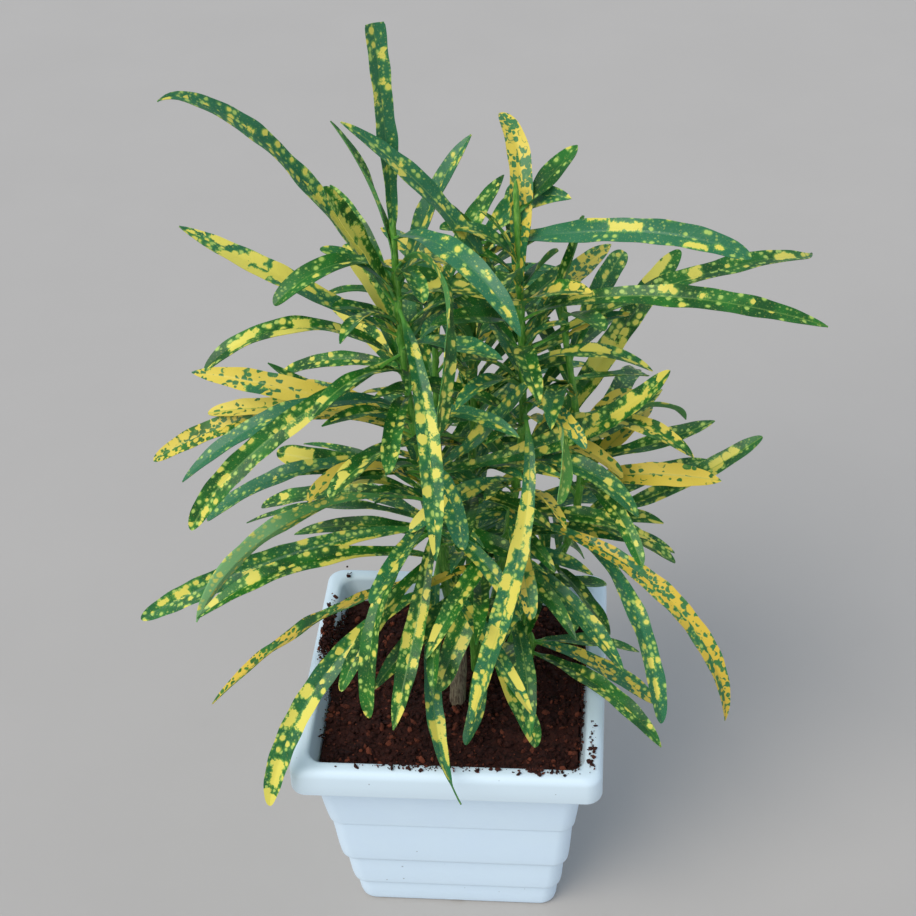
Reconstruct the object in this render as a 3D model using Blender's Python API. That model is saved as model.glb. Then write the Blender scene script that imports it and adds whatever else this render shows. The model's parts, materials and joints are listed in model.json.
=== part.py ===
"""Potted croton: narrow, waved, gold-dusted leaves on six leafy stems in a square tiered nursery pot.

Metres, +Z up. The origin is the middle of the pot's base, and the front of the pot faces -Y.
"""

import math
import random

import bmesh
import bpy
import numpy as np
from mathutils import Vector, noise
from mathutils.bvhtree import BVHTree

# Pot
POT_HEIGHT = 0.105
RIM_HALF = 0.065  # half the width across the rim
RIM_DEPTH = 0.014
RIM_SKIRT = 0.0022  # thickness of the skirt that hangs from the lip
LIP_WIDTH = 0.0078
CORNER_RADIUS = 0.0068
CORNER_STEPS = 3
FLOOR = 0.003
INNER_HALF_LOW, INNER_HALF_HIGH = 0.0412, 0.0550  # inside of the wall, at the floor and at the rim's foot
# Each tier from the ground up: foot height, half-width just above its rounded foot, half-width at its top, rounding
TIERS = (
    (0.0, 0.0442, 0.0454, 0.0024),
    (0.0135, 0.0468, 0.0484, 0.0024),
    (0.033, 0.0503, 0.0524, 0.0026),
    (0.060, 0.0534, 0.0570, 0.0014),
)
NOTCH_RADIUS, NOTCH_RISE, NOTCH_INNER = 0.006, 0.0015, 0.034
DRAIN_RADIUS, DRAIN_PLACE = 0.004, 0.021

# Soil
SOIL_EDGE, SOIL_MIDDLE = 0.0935, 0.0962  # height of the surface at the wall and in the middle
SOIL_LUMP = 0.0011
GAP = 0.00035  # clearance between touching pieces

# Stems
ROOT_FOOT = 0.062  # how deep the stems reach
SOIL_LEVEL = 0.096
STEM_SIDES = 7
# Places along each stem, from the soil up
STEM_LINES = {
    "left": ((0.0015, -0.012, 0.096), (0.003, -0.011, 0.125), (-0.004, -0.006, 0.185),
             (-0.013, -0.001, 0.260), (-0.014, 0.0, 0.326)),
    "right": ((0.0085, -0.012, 0.096), (0.013, -0.008, 0.122), (0.022, -0.002, 0.167),
              (0.031, 0.0, 0.229), (0.032, 0.0, 0.272), (0.031, 0.003, 0.338)),
    "far_right": ((0.021, 0.009, 0.096), (0.031, 0.010, 0.130), (0.049, 0.008, 0.172),
                  (0.054, 0.006, 0.215), (0.046, 0.002, 0.296)),
    "middle": ((0.008, 0.008, 0.096), (0.007, 0.012, 0.150), (0.011, 0.016, 0.230), (0.013, 0.015, 0.312)),
    "back": ((-0.001, 0.020, 0.096), (-0.006, 0.032, 0.150), (-0.007, 0.042, 0.220), (-0.005, 0.047, 0.280)),
    "side": ((0.031, 0.008, 0.096), (0.033, 0.007, 0.115)),
}
# Radius at the soil and at the tip
STEM_RADII = {
    "left": (0.0036, 0.0013),
    "right": (0.0022, 0.0011),
    "far_right": (0.0021, 0.0010),
    "middle": (0.0022, 0.0010),
    "back": (0.0021, 0.0010),
    "side": (0.0021, 0.0015),
}
WOODY = 0.45  # share of the left stem's height over which the trunk narrows
STEM_NODES = {
    "left": "leafy_stem_left",
    "right": "leafy_stem_right",
    "far_right": "leafy_stem_far_right",
    "middle": "leafy_stem_middle",
    "back": "leafy_stem_back",
    "side": "side_shoot",
}

# Leaves
BLADE_THICKNESS = 0.0007
PETIOLE_HALF = 0.0009
PETIOLE_SHARE = 0.09  # share of a leaf's length that is bare stalk
FOLD = math.radians(20)  # how far each half rises from flat along the midrib
WAVE_HEIGHT = 0.0007
WAVE_LENGTH = 0.031
FEWEST_SECTIONS, MOST_SECTIONS = 5, 9
TIP_SHARE = 0.93  # where the last full section of a blade stands
LINE_STEPS = 24
CLEAR_THICKNESS, CLEAR_WIDTH = 0.0009, 0.0005  # room kept round each leaf
RIM_ZONE = (0.0558, 0.0668, 0.1066)  # inner half, outer half and top of the space that leaves keep out of
SOIL_CLEAR = 0.0988

# The leaves that shape the plant's outline, for each stem from the top down: height of the root on the stem,
# azimuth in the middle of the blade, sway of the azimuth along it, rise at the root, droop along it (degrees),
# length, width, roll about the midrib (degrees), and where the droop comes: near the root below 1, near the tip above
MAIN_LEAVES = {
    "left": (
        (0.318, 113, -10, 93, 17, 0.083, 0.0082, 15, 1),
        (0.320, -47, 21, 34, 95, 0.083, 0.0095, 25, 1.4),
        (0.306, 165, -2, 86, 33, 0.063, 0.0065, 20, 1.1),
        (0.305, -145, 2, 57, 94, 0.055, 0.0090, -15, 0.8),
        (0.306, -78, -83, 64, 151, 0.100, 0.0088, -75, 0.8),
        (0.296, 37, 0, 66, 23, 0.066, 0.0085, 10, 1.7),
        (0.289, -163, 33, 63, 45, 0.131, 0.0085, -35, 3.2),
        (0.292, -121, 4, 65, 7, 0.075, 0.0075, -80, 1.1),
        (0.291, -77, -23, -15, 51, 0.099, 0.0090, 0, 0.6),
        (0.277, -173, -21, 41, 11, 0.094, 0.0088, -35, 0.7),
        (0.270, -149, -26, -5, 56, 0.110, 0.0098, -45, 1.5),
        (0.270, 132, 0, 72, 52, 0.049, 0.0088, -5, 0.8),
        (0.264, -157, 5, 54, 95, 0.088, 0.0088, -10, 1.3),
        (0.238, 175, -19, 22, 27, 0.091, 0.0102, -45, 1.5),
        (0.240, -155, -13, 69, 112, 0.105, 0.0088, -15, 0.6),
        (0.233, 173, 3, 27, 42, 0.087, 0.0090, -20, 0.6),
        (0.230, 179, 38, 29, 58, 0.115, 0.0090, -35, 0.6),
        (0.178, -85, 48, -69, -64, 0.111, 0.0078, -15, 1.3),
        (0.215, 172, -32, 13, 17, 0.062, 0.0100, -45, 0.6),
        (0.213, -7, -14, 18, -41, 0.116, 0.0092, 45, 1.9),
        (0.212, -9, 3, 43, -15, 0.068, 0.0088, 25, 1.1),
        (0.208, -155, 15, 48, 99, 0.057, 0.0088, 0, 1.5),
        (0.211, -168, 17, 47, 83, 0.095, 0.0088, -5, 0.6),
        (0.201, -156, 9, 33, 96, 0.118, 0.0102, 80, 0.9),
        (0.190, 166, 4, 19, 50, 0.090, 0.0070, 10, 0.6),
        (0.191, -104, -17, -25, 31, 0.086, 0.0092, -10, 0.6),
        (0.188, -168, -8, 15, 46, 0.130, 0.0102, -45, 0.6),
        (0.186, -109, 37, 36, 118, 0.092, 0.0082, 15, 0.6),
        (0.174, -155, 7, 25, 55, 0.107, 0.0090, -15, 1.3),
        (0.164, -172, 17, -8, 38, 0.125, 0.0088, 5, 0.6),
        (0.159, -138, 3, 26, 103, 0.131, 0.0098, -35, 0.7),
        (0.190, -27, 18, 19, 33, 0.039, 0.0088, 15, 0.6),
    ),
    "right": (
        (0.329, 47, 18, 34, 14, 0.035, 0.0085, 5, 0.9),
        (0.298, 56, 9, 30, 36, 0.025, 0.0085, -50, 0.9),
        (0.286, -170, 3, 64, 24, 0.106, 0.0088, -35, 1.6),
        (0.290, 86, 78, 91, 80, 0.079, 0.0088, 0, 2),
        (0.284, -8, 27, 51, 74, 0.120, 0.0090, 35, 0.6),
        (0.273, 54, 0, 47, 46, 0.060, 0.0092, 20, 0.6),
        (0.269, 31, -11, 52, -28, 0.060, 0.0085, -15, 1.6),
        (0.270, 20, 52, 38, 66, 0.133, 0.0088, 15, 1.2),
        (0.260, -74, -64, 6, 51, 0.059, 0.0102, -70, 0.6),
        (0.246, -118, -91, -26, 52, 0.137, 0.0090, -15, 0.6),
        (0.228, -9, -3, 18, 70, 0.045, 0.0088, 0, 1),
        (0.220, 32, 16, -10, -31, 0.068, 0.0088, 10, 0.7),
        (0.207, 39, 37, 52, 40, 0.117, 0.0102, 30, 2.9),
        (0.204, -59, -6, 41, 57, 0.045, 0.0085, -35, 1.1),
        (0.191, -27, -5, 5, 97, 0.137, 0.0088, 25, 1.4),
        (0.169, -119, -5, 7, 65, 0.063, 0.0102, -25, 0.6),
        (0.192, -1, -3, 16, 56, 0.073, 0.0085, 0, 0.6),
        (0.160, -35, 7, 17, 91, 0.045, 0.0088, 10, 2),
        (0.157, 15, 24, 1, 21, 0.048, 0.0085, 0, 0.6),
        (0.118, -99, -47, 1, 43, 0.040, 0.0082, 25, 0.6),
    ),
    "far_right": (
        (0.256, 28, 22, -5, 23, 0.035, 0.0070, -10, 1.3),
        (0.238, 29, 40, 2, 65, 0.056, 0.0070, -25, 2),
        (0.215, 4, 21, 16, -5, 0.056, 0.0090, 10, 1),
        (0.206, 46, 19, 33, 38, 0.045, 0.0090, 5, 1.6),
        (0.203, -12, 7, 32, 37, 0.059, 0.0100, 45, 0.8),
        (0.184, 9, 20, 12, -21, 0.084, 0.0088, 15, 0.7),
        (0.173, -61, -21, 43, 112, 0.098, 0.0085, -10, 0.6),
        (0.157, -56, 12, 14, 45, 0.044, 0.0085, -20, 1),
    ),
    "middle": (
        (0.304, -9, -20, 57, 70, 0.051, 0.0095, 50, 2.3),
        (0.309, -18, 20, 21, 47, 0.111, 0.0095, 45, 2.5),
    ),
    "back": ((0.213, -175, -27, 8, -32, 0.075, 0.0082, 0, 1.3),),
    "side": (
        (0.114, 10, 11, 14, 45, 0.050, 0.0085, -5, 0.6),
        (0.114, -17, 7, 17, 56, 0.061, 0.0088, 10, 0.6),
        (0.108, -38, 6, 15, 61, 0.077, 0.0088, 10, 1.6),
        (0.108, -83, 95, 53, 136, 0.085, 0.0095, 10, 1.6),
    ),
}
# The rows of leaves that fill each stem: how many, lowest and highest root, rise at the lowest and highest,
# length at the lowest and highest, middle azimuth and how wide the row fans about it
FILL_LEAVES = {
    "left": (
        (8, 0.150, 0.290, 15, 60, 0.078, 0.052, 80, 170),
        (14, 0.165, 0.304, 10, 55, 0.070, 0.048, -75, 150),
    ),
    "right": (
        (6, 0.150, 0.300, 20, 58, 0.080, 0.044, 90, 180),
        (18, 0.156, 0.308, 12, 60, 0.073, 0.038, -80, 180),
    ),
    "far_right": (
        (8, 0.160, 0.280, 15, 62, 0.076, 0.050, 100, 150),
        (8, 0.170, 0.284, 15, 60, 0.068, 0.046, -105, 150),
    ),
    "middle": (
        (8, 0.150, 0.268, 35, 64, 0.078, 0.050, 90, 200),
        (21, 0.155, 0.288, 38, 74, 0.080, 0.046, -90, 230),
    ),
    "back": ((18, 0.140, 0.262, 5, 52, 0.092, 0.060, 90, 180),),
    "side": ((1, 0.111, 0.112, 50, 55, 0.050, 0.050, 150, 0),),
}
GOLDEN_SHARE = 0.618034
SEED = 11
SPREAD = 11  # how far, in degrees, a leaf strays from its place in the fan
FRONT_ROLL = 18  # how far, in degrees, the leaves at the sides turn their faces to the front
FILL_DROOP = (35, 80)
FILL_WIDTH = (0.0064, 0.0094)
NUDGES = (2, 4, 7, 10, 14, 18, 23, 29, 36)  # degrees that a leaf may be bent clear

COLOURS = {
    "pot": (0.66, 0.77, 0.86, 0.45),
    "soil": (0.035, 0.012, 0.008, 0.95),
    "leaves": (0.035, 0.16, 0.045, 0.35),
}


def clear_scene():
    for obj in list(bpy.data.objects):
        bpy.data.objects.remove(obj, do_unlink=True)


def material(name):
    red, green, blue, rough = COLOURS[name]
    made = bpy.data.materials.new(name)
    made.use_nodes = True
    shader = made.node_tree.nodes["Principled BSDF"]
    shader.inputs["Base Color"].default_value = (red, green, blue, 1)
    shader.inputs["Roughness"].default_value = rough
    shader.inputs["Metallic"].default_value = 0
    return made


def add_object(name, verts, faces, mat=None, collection=None):
    mesh = bpy.data.meshes.new(name)
    mesh.from_pydata([tuple(v) for v in verts], [], faces)
    mesh.validate()
    obj = bpy.data.objects.new(name, mesh)
    (collection or bpy.context.scene.collection).objects.link(obj)
    if mat:
        mesh.materials.append(mat)
    return obj


def face_outwards(obj):
    """Turns every face of a closed mesh outwards."""
    bm = bmesh.new()
    bm.from_mesh(obj.data)
    bmesh.ops.recalc_face_normals(bm, faces=bm.faces)
    bm.to_mesh(obj.data)
    bm.free()


def cylinder(name, radius, start, end, collection, sides=20):
    """A closed cylinder from start to end."""
    start, end = Vector(start), Vector(end)
    bm = bmesh.new()
    bmesh.ops.create_cone(bm, cap_ends=True, segments=sides, radius1=radius, radius2=radius,
                          depth=(end - start).length)
    turn = Vector((0, 0, 1)).rotation_difference(end - start).to_matrix().to_4x4()
    bm.transform(turn)
    bmesh.ops.translate(bm, verts=bm.verts, vec=(start + end) / 2)
    mesh = bpy.data.meshes.new(name)
    bm.to_mesh(mesh)
    bm.free()
    obj = bpy.data.objects.new(name, mesh)
    collection.objects.link(obj)
    return obj


def combine(obj, collection, operation, solver="EXACT"):
    """Applies one Boolean of a whole collection to obj, then removes the collection and its objects."""
    cut = obj.modifiers.new(operation.title(), "BOOLEAN")
    cut.operation = operation
    cut.solver = solver
    cut.operand_type = "COLLECTION"
    cut.collection = collection
    bpy.context.view_layer.update()
    graph = bpy.context.evaluated_depsgraph_get()
    result = bpy.data.meshes.new_from_object(obj.evaluated_get(graph))
    obj.modifiers.clear()
    obj.data = result
    for part in list(collection.objects):
        bpy.data.objects.remove(part, do_unlink=True)
    bpy.data.collections.remove(collection)


def keep_largest(obj):
    """Drops the loose scraps and the sealed hollows that a union can leave beside its one body."""
    bm = bmesh.new()
    bm.from_mesh(obj.data)
    left, shells = set(bm.verts), []
    while left:
        stack = [left.pop()]
        shell = set(stack)
        while stack:
            for edge in stack.pop().link_edges:
                for vert in edge.verts:
                    if vert in left:
                        left.remove(vert)
                        shell.add(vert)
                        stack.append(vert)
        shells.append(shell)
    shells.sort(key=len)
    bmesh.ops.delete(bm, geom=[vert for shell in shells[:-1] for vert in shell], context="VERTS")
    bm.to_mesh(obj.data)
    bm.free()


def new_collection(name):
    made = bpy.data.collections.new(name)
    bpy.context.scene.collection.children.link(made)
    return made


def square_loop(half, height, radius=CORNER_RADIUS):
    """A rounded square at a height, counter-clockwise from above."""
    radius = min(radius, half * 0.9)
    points = []
    for quarter in range(4):
        turn = math.radians(90 * quarter)
        centre = Vector((half - radius, half - radius, 0))
        for step in range(CORNER_STEPS + 1):
            angle = math.radians(90) * step / CORNER_STEPS
            point = centre + radius * Vector((math.cos(angle), math.sin(angle), 0))
            x = point.x * math.cos(turn) - point.y * math.sin(turn)
            y = point.x * math.sin(turn) + point.y * math.cos(turn)
            points.append(Vector((x, y, height)))
    return points


def skin(loops, close_start=True, close_end=True):
    """Faces that join loops of like length one after another."""
    count = len(loops[0])
    verts = [point for loop in loops for point in loop]
    faces = []
    for ring in range(len(loops) - 1):
        for i in range(count):
            j = (i + 1) % count
            a, b = ring * count, (ring + 1) * count
            faces.append((a + i, a + j, b + j, b + i))
    if close_start:
        faces.append(tuple(reversed(range(count))))
    if close_end:
        last = (len(loops) - 1) * count
        faces.append(tuple(range(last, last + count)))
    return verts, faces


def inner_half(height):
    """Half the width inside the pot's wall at a height below the rim."""
    share = (height - FLOOR) / (POT_HEIGHT - RIM_DEPTH - FLOOR)
    return INNER_HALF_LOW + (INNER_HALF_HIGH - INNER_HALF_LOW) * share


def pot_profile():
    """(half-width, height) up the outside, over the lip and down the inside to the floor."""
    points = []
    for foot, low, high, rounding in TIERS:
        index = TIERS.index((foot, low, high, rounding))
        top = TIERS[index + 1][0] if index + 1 < len(TIERS) else POT_HEIGHT - RIM_DEPTH
        points += [
            (low - 0.9 * rounding, foot),
            (low - 0.35 * rounding, foot + 0.35 * rounding),
            (low, foot + 1.1 * rounding),
            (high, top - 0.0003),
        ]
    rim_foot = POT_HEIGHT - RIM_DEPTH
    ceiling = POT_HEIGHT - 0.0045
    opening = RIM_HALF - LIP_WIDTH
    points += [
        (0.0582, ceiling),
        (RIM_HALF - RIM_SKIRT, ceiling),
        (RIM_HALF - RIM_SKIRT, rim_foot),
        (RIM_HALF - 0.0006, rim_foot),
        (RIM_HALF, rim_foot + 0.0008),
        (RIM_HALF - 0.0002, POT_HEIGHT - 0.0042),
        (RIM_HALF - 0.0011, POT_HEIGHT - 0.0016),
        (RIM_HALF - 0.0028, POT_HEIGHT - 0.0002),
        (RIM_HALF - 0.0040, POT_HEIGHT),
        (opening + 0.0018, POT_HEIGHT),
        (opening + 0.0005, POT_HEIGHT - 0.0008),
        (opening, POT_HEIGHT - 0.0028),
        (INNER_HALF_HIGH, rim_foot),
        (INNER_HALF_LOW, FLOOR),
    ]
    return points


def build_pot():
    verts, faces = skin([square_loop(half, height) for half, height in pot_profile()])
    pot = add_object("pot", verts, faces, material("pot"))
    face_outwards(pot)
    cutters = new_collection("pot_cutters")
    depth = NOTCH_RISE - NOTCH_RADIUS
    for x, y in ((1, 0), (-1, 0), (0, 1), (0, -1)):
        inner = (x * NOTCH_INNER, y * NOTCH_INNER, depth)
        outer = (x * RIM_HALF, y * RIM_HALF, depth)
        cylinder("notch", NOTCH_RADIUS, inner, outer, cutters, sides=36)
    for x in (-DRAIN_PLACE, DRAIN_PLACE):
        for y in (-DRAIN_PLACE, DRAIN_PLACE):
            cylinder("drain", DRAIN_RADIUS, (x, y, -0.002), (x, y, FLOOR + 0.001), cutters)
    combine(pot, cutters, "DIFFERENCE")
    return pot


def soil_height(x, y):
    """The crumbly surface: a low mound with lumps."""
    out = max(abs(x), abs(y)) / INNER_HALF_HIGH
    mound = SOIL_MIDDLE + (SOIL_EDGE - SOIL_MIDDLE) * out * out
    return mound + SOIL_LUMP * noise.noise(Vector((x * 90, y * 90, 3.1)))


def build_soil():
    loops = [square_loop(inner_half(FLOOR + GAP) - GAP, FLOOR + GAP)]
    edge_half = inner_half(SOIL_EDGE - 0.004) - GAP
    for share in (1.0, 0.86, 0.68, 0.5, 0.32, 0.14):
        loop = square_loop(edge_half * share, 0, CORNER_RADIUS * share)
        for point in loop:
            point.z = soil_height(point.x, point.y)
        loops.append(loop)
    verts, faces = skin(loops)
    soil = add_object("soil", verts, faces, material("soil"))
    face_outwards(soil)
    holes = new_collection("soil_holes")
    for key, line in STEM_LINES.items():
        x, y, _ = line[0]
        radius = STEM_RADII[key][0] + 1.2 * GAP
        cylinder("hole", radius, (x, y, ROOT_FOOT - GAP), (x, y, SOIL_LEVEL + 0.02), holes, sides=12)
    combine(soil, holes, "DIFFERENCE")
    return soil


def stem_point(key, height):
    """The middle of a stem at a height: a smooth line through its places, upright where it leaves the soil."""
    places = np.array(STEM_LINES[key])
    heights = places[:, 2]
    last = len(places) - 1
    slopes = np.array([
        (places[min(i + 1, last)] - places[max(i - 1, 0)])
        / (heights[min(i + 1, last)] - heights[max(i - 1, 0)])
        for i in range(last + 1)
    ])
    slopes[0] = (0, 0, 1)
    if height <= heights[0]:
        return Vector((places[0][0], places[0][1], height))
    height = min(height, heights[-1])
    i = min(int(np.searchsorted(heights, height, side="right")) - 1, last - 1)
    span = heights[i + 1] - heights[i]
    t = (height - heights[i]) / span
    point = (
        (2 * t**3 - 3 * t**2 + 1) * places[i]
        + (t**3 - 2 * t**2 + t) * span * slopes[i]
        + (-2 * t**3 + 3 * t**2) * places[i + 1]
        + (t**3 - t**2) * span * slopes[i + 1]
    )
    return Vector((point[0], point[1], height))


def stem_radius(key, height):
    low, high = STEM_RADII[key]
    top = STEM_LINES[key][-1][2]
    share = min(max((height - SOIL_LEVEL) / (top - SOIL_LEVEL), 0), 1)
    if key == "left":
        share = min(share / WOODY, 1) * 0.75 + share * 0.25
    return low + (high - low) * share


def stem_shell(key):
    """(vertices, faces) of a stem, from its foot in the soil to the bud at its tip."""
    top = STEM_LINES[key][-1][2]
    count = max(3, round((top - SOIL_LEVEL) / 0.022))
    heights = [ROOT_FOOT, SOIL_LEVEL] + [SOIL_LEVEL + (top - SOIL_LEVEL) * (i + 1) / count for i in range(count)]
    loops = []
    for height in heights:
        middle, radius = stem_point(key, height), stem_radius(key, height)
        loops.append([
            middle + radius * Vector((math.cos(a), math.sin(a), 0))
            for a in (2 * math.pi * i / STEM_SIDES for i in range(STEM_SIDES))
        ])
    tip = stem_point(key, top)
    loops.append([tip + (point - tip) * 0.3 + Vector((0, 0, 0.005)) for point in loops[-1]])
    return skin(loops)


def blade_width(share):
    """Half-width along a blade, as a share of the widest: a strap, narrower at the stalk, with a blunt tip."""
    grow = min(share / 0.5, 1)
    narrow = 0.48 + 0.52 * (3 * grow**2 - 2 * grow**3)
    past = max(share - 0.72, 0) / 0.28
    return narrow * math.sqrt(max(1 - past**2.3, 0))


def leaf_line(leaf, root):
    """Points along the middle of a leaf, whose heading turns from root to tip."""
    _, azimuth, sway, rise, droop, length, _, _, bend = leaf
    points = [root]
    for step in range(LINE_STEPS):
        share = (step + 0.5) / LINE_STEPS
        points.append(points[-1] + heading(azimuth, sway, rise, droop, bend, share) * length / LINE_STEPS)
    return points


def heading(azimuth, sway, rise, droop, bend, share):
    across = math.radians(azimuth + sway * (share - 0.5))
    up = math.radians(rise - droop * share**bend)
    return Vector((math.cos(up) * math.cos(across), math.cos(up) * math.sin(across), math.sin(up)))


def stations(leaf):
    """Shares along a leaf where its sections stand: more on a long or a bent one."""
    turning = abs(leaf[2]) + abs(leaf[4])
    count = round(2.5 + 24 * leaf[5] + turning / 90)
    count = min(max(count, FEWEST_SECTIONS), MOST_SECTIONS) - 3
    blade = [PETIOLE_SHARE + (TIP_SHARE - PETIOLE_SHARE) * i / count for i in range(count + 1)]
    return [0.0] + blade + [1.0]


def leaf_rings(leaf, root, phase, spare=(0.0, 0.0)):
    """Six-point sections of a leaf: a V-shaped blade with waved edges on a short stalk."""
    _, azimuth, sway, rise, droop, length, width, roll, bend = leaf
    line = leaf_line(leaf, root)
    rings = []
    for share in stations(leaf):
        place = share * LINE_STEPS
        step = min(int(place), LINE_STEPS - 1)
        middle = line[step].lerp(line[step + 1], place - step)
        along = heading(azimuth, sway, rise, droop, bend, share)
        across = math.radians(azimuth + sway * (share - 0.5))
        side = Vector((-math.sin(across), math.cos(across), 0))
        normal = along.cross(side)
        turn = math.radians(roll) * min(share * 2.5, 1)
        side, normal = (side * math.cos(turn) + normal * math.sin(turn),
                        normal * math.cos(turn) - side * math.sin(turn))
        blade = max(share - PETIOLE_SHARE, 0) / (1 - PETIOLE_SHARE)
        if blade < 0.02:
            half, thick, wave = PETIOLE_HALF, PETIOLE_HALF * 1.6, 0.0
        else:
            half = max(width / 2 * blade_width(blade), 0.0005)
            thick = BLADE_THICKNESS
            wave = WAVE_HEIGHT * math.sin(math.pi * min(blade * 1.15, 1))
        half += spare[1]
        thick += spare[0]
        ring = []
        for face in (1, -1):
            for edge in (-1, 0, 1):
                angle = 2 * math.pi * share * length / WAVE_LENGTH + phase + (2.2 if edge > 0 else 0.0)
                lift = abs(edge) * (half * math.sin(FOLD) + wave * math.sin(angle))
                ring.append(middle + side * edge * half * math.cos(FOLD) + normal * (lift + face * thick / 2))
        rings.append(ring)
    return rings


def leaf_shell(rings):
    """(vertices, triangles) of a closed leaf. Both faces are split alike."""
    verts = [point for ring in rings for point in ring]
    faces = []
    for ring in range(len(rings) - 1):
        a, b = ring * 6, ring * 6 + 6
        for i, j in ((0, 1), (1, 2)):
            faces += [(a + i, a + j, b + j), (a + i, b + j, b + i)]
            faces += [(a + 3 + i, b + 3 + j, a + 3 + j), (a + 3 + i, b + 3 + i, b + 3 + j)]
        faces += [(a, b, b + 3), (a, b + 3, a + 3)]
        faces += [(a + 2, b + 5, b + 2), (a + 2, a + 5, b + 5)]
    end = (len(rings) - 1) * 6
    faces += [(0, 3, 4), (0, 4, 1), (1, 4, 5), (1, 5, 2)]
    faces += [(end, end + 4, end + 3), (end, end + 1, end + 4), (end + 1, end + 5, end + 4), (end + 1, end + 2, end + 5)]
    return verts, faces


def fill_list(key):
    """The stem's filling leaves, row by row: each row fans by the golden share, each leaf a little off it."""
    draw = random.Random(SEED + list(STEM_NODES).index(key))
    leaves = []
    for count, low, high, rise_low, rise_high, length_low, length_high, middle, fan in FILL_LEAVES[key]:
        for i in range(count):
            share = i / max(count - 1, 1)
            stray = [draw.uniform(-1, 1) for _ in range(6)]
            azimuth = middle + fan * ((0.5 + i * GOLDEN_SHARE) % 1 - 0.5) + SPREAD * stray[0]
            leaves.append((
                low + (high - low) * share,
                azimuth,
                25 * stray[1],
                rise_low + (rise_high - rise_low) * share + 8 * stray[2],
                FILL_DROOP[0] + (FILL_DROOP[1] - FILL_DROOP[0]) * (1 + stray[3]) / 2,
                (length_low + (length_high - length_low) * share) * (1 + 0.14 * stray[4]),
                FILL_WIDTH[0] + (FILL_WIDTH[1] - FILL_WIDTH[0]) * (1 + stray[5]) / 2,
                FRONT_ROLL * math.cos(math.radians(azimuth)) + 15 * stray[2],
                1.0,
            ))
    return leaves


def tree_of(verts, faces):
    return BVHTree.FromPolygons([tuple(v) for v in verts], faces)


def over_pot(rings):
    """Whether a leaf stays above the soil and the rim, and off the rim's outside."""
    inner, outer, top = RIM_ZONE
    for ring, after in zip(rings[1:], rings[2:]):
        for start, end in zip(ring, after):
            for share in (0.0, 0.2, 0.4, 0.6, 0.8, 1.0):
                point = start.lerp(end, share)
                reach = max(abs(point.x), abs(point.y))
                if reach < inner and point.z < SOIL_CLEAR:
                    return False
                if inner <= reach < outer and point.z < top:
                    return False
    return True


def nudges():
    """Small bends to try in turn: (azimuth, rise)."""
    yield 0, 0
    for size in NUDGES:
        for turn in range(8):
            angle = math.radians(45 * turn)
            yield round(size * math.cos(angle), 1), round(size * math.sin(angle), 1)


def bent_clear(key, leaf, phase, placed, stems):
    """The leaf, bent by as little as clears the leaves and stems around it, or None."""
    root = stem_point(key, leaf[0])
    for turn, lift in nudges():
        bent = (leaf[0], leaf[1] + turn, leaf[2], leaf[3] + lift) + leaf[4:]
        rings = leaf_rings(bent, root, phase, (CLEAR_THICKNESS, CLEAR_WIDTH))
        if not over_pot(rings):
            continue
        whole, blade = tree_of(*leaf_shell(rings)), tree_of(*leaf_shell(rings[2:]))
        if any(whole.overlap(tree) for other, tree in stems.items() if other != key):
            continue
        if any((blade.overlap(b) if other == key else whole.overlap(w)) for other, w, b in placed):
            continue
        placed.append((key, whole, blade))
        return bent
    return None


def arrange_leaves():
    """Every leaf by stem, as (leaf, phase of its wave), bent clear of the others."""
    stems = {key: tree_of(*stem_shell(key)) for key in STEM_NODES}
    placed, found = [], {key: [] for key in STEM_NODES}
    queue = [(key, leaf) for key in STEM_NODES for leaf in MAIN_LEAVES[key]]
    queue += [(key, leaf) for key in STEM_NODES for leaf in fill_list(key)]
    for number, (key, leaf) in enumerate(queue):
        phase = number * 2.4
        bent = bent_clear(key, leaf, phase, placed, stems)
        if bent:
            found[key].append((bent, phase))
    return found


def build_stem(key, leaves, mat):
    verts, faces = stem_shell(key)
    stem = add_object(STEM_NODES[key], verts, faces, mat)
    face_outwards(stem)
    parts = new_collection("leaves_of_" + key)
    for leaf, phase in leaves:
        verts, faces = leaf_shell(leaf_rings(leaf, stem_point(key, leaf[0]), phase))
        face_outwards(add_object("leaf", verts, faces, collection=parts))
    combine(stem, parts, "UNION")
    keep_largest(stem)
    return stem


def main():
    clear_scene()
    pot, soil = build_pot(), build_soil()
    leaves = arrange_leaves()
    mat = material("leaves")
    stems = [build_stem(key, leaves[key], mat) for key in STEM_NODES]
    for obj in stems + [soil]:
        obj.parent = pot
    pot.data.shade_smooth()
    pot.data.set_sharp_from_angle(angle=math.radians(40))


main()
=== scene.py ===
"""Potted croton: the looks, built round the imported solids.

The leaves stand where the solids have them: the same lists and the same rule place them, and a finer
blade is then built along the same line. Lengths are metres and angles degrees, in the solids' frame.
"""

import json
import logging
import math
import random
from collections.abc import Iterator, Sequence
from dataclasses import dataclass, field, replace
from enum import Enum
from typing import Any, NamedTuple

import bmesh
import bpy
import numpy as np
from mathutils import Matrix, Vector, noise
from mathutils.bvhtree import BVHTree

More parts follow.
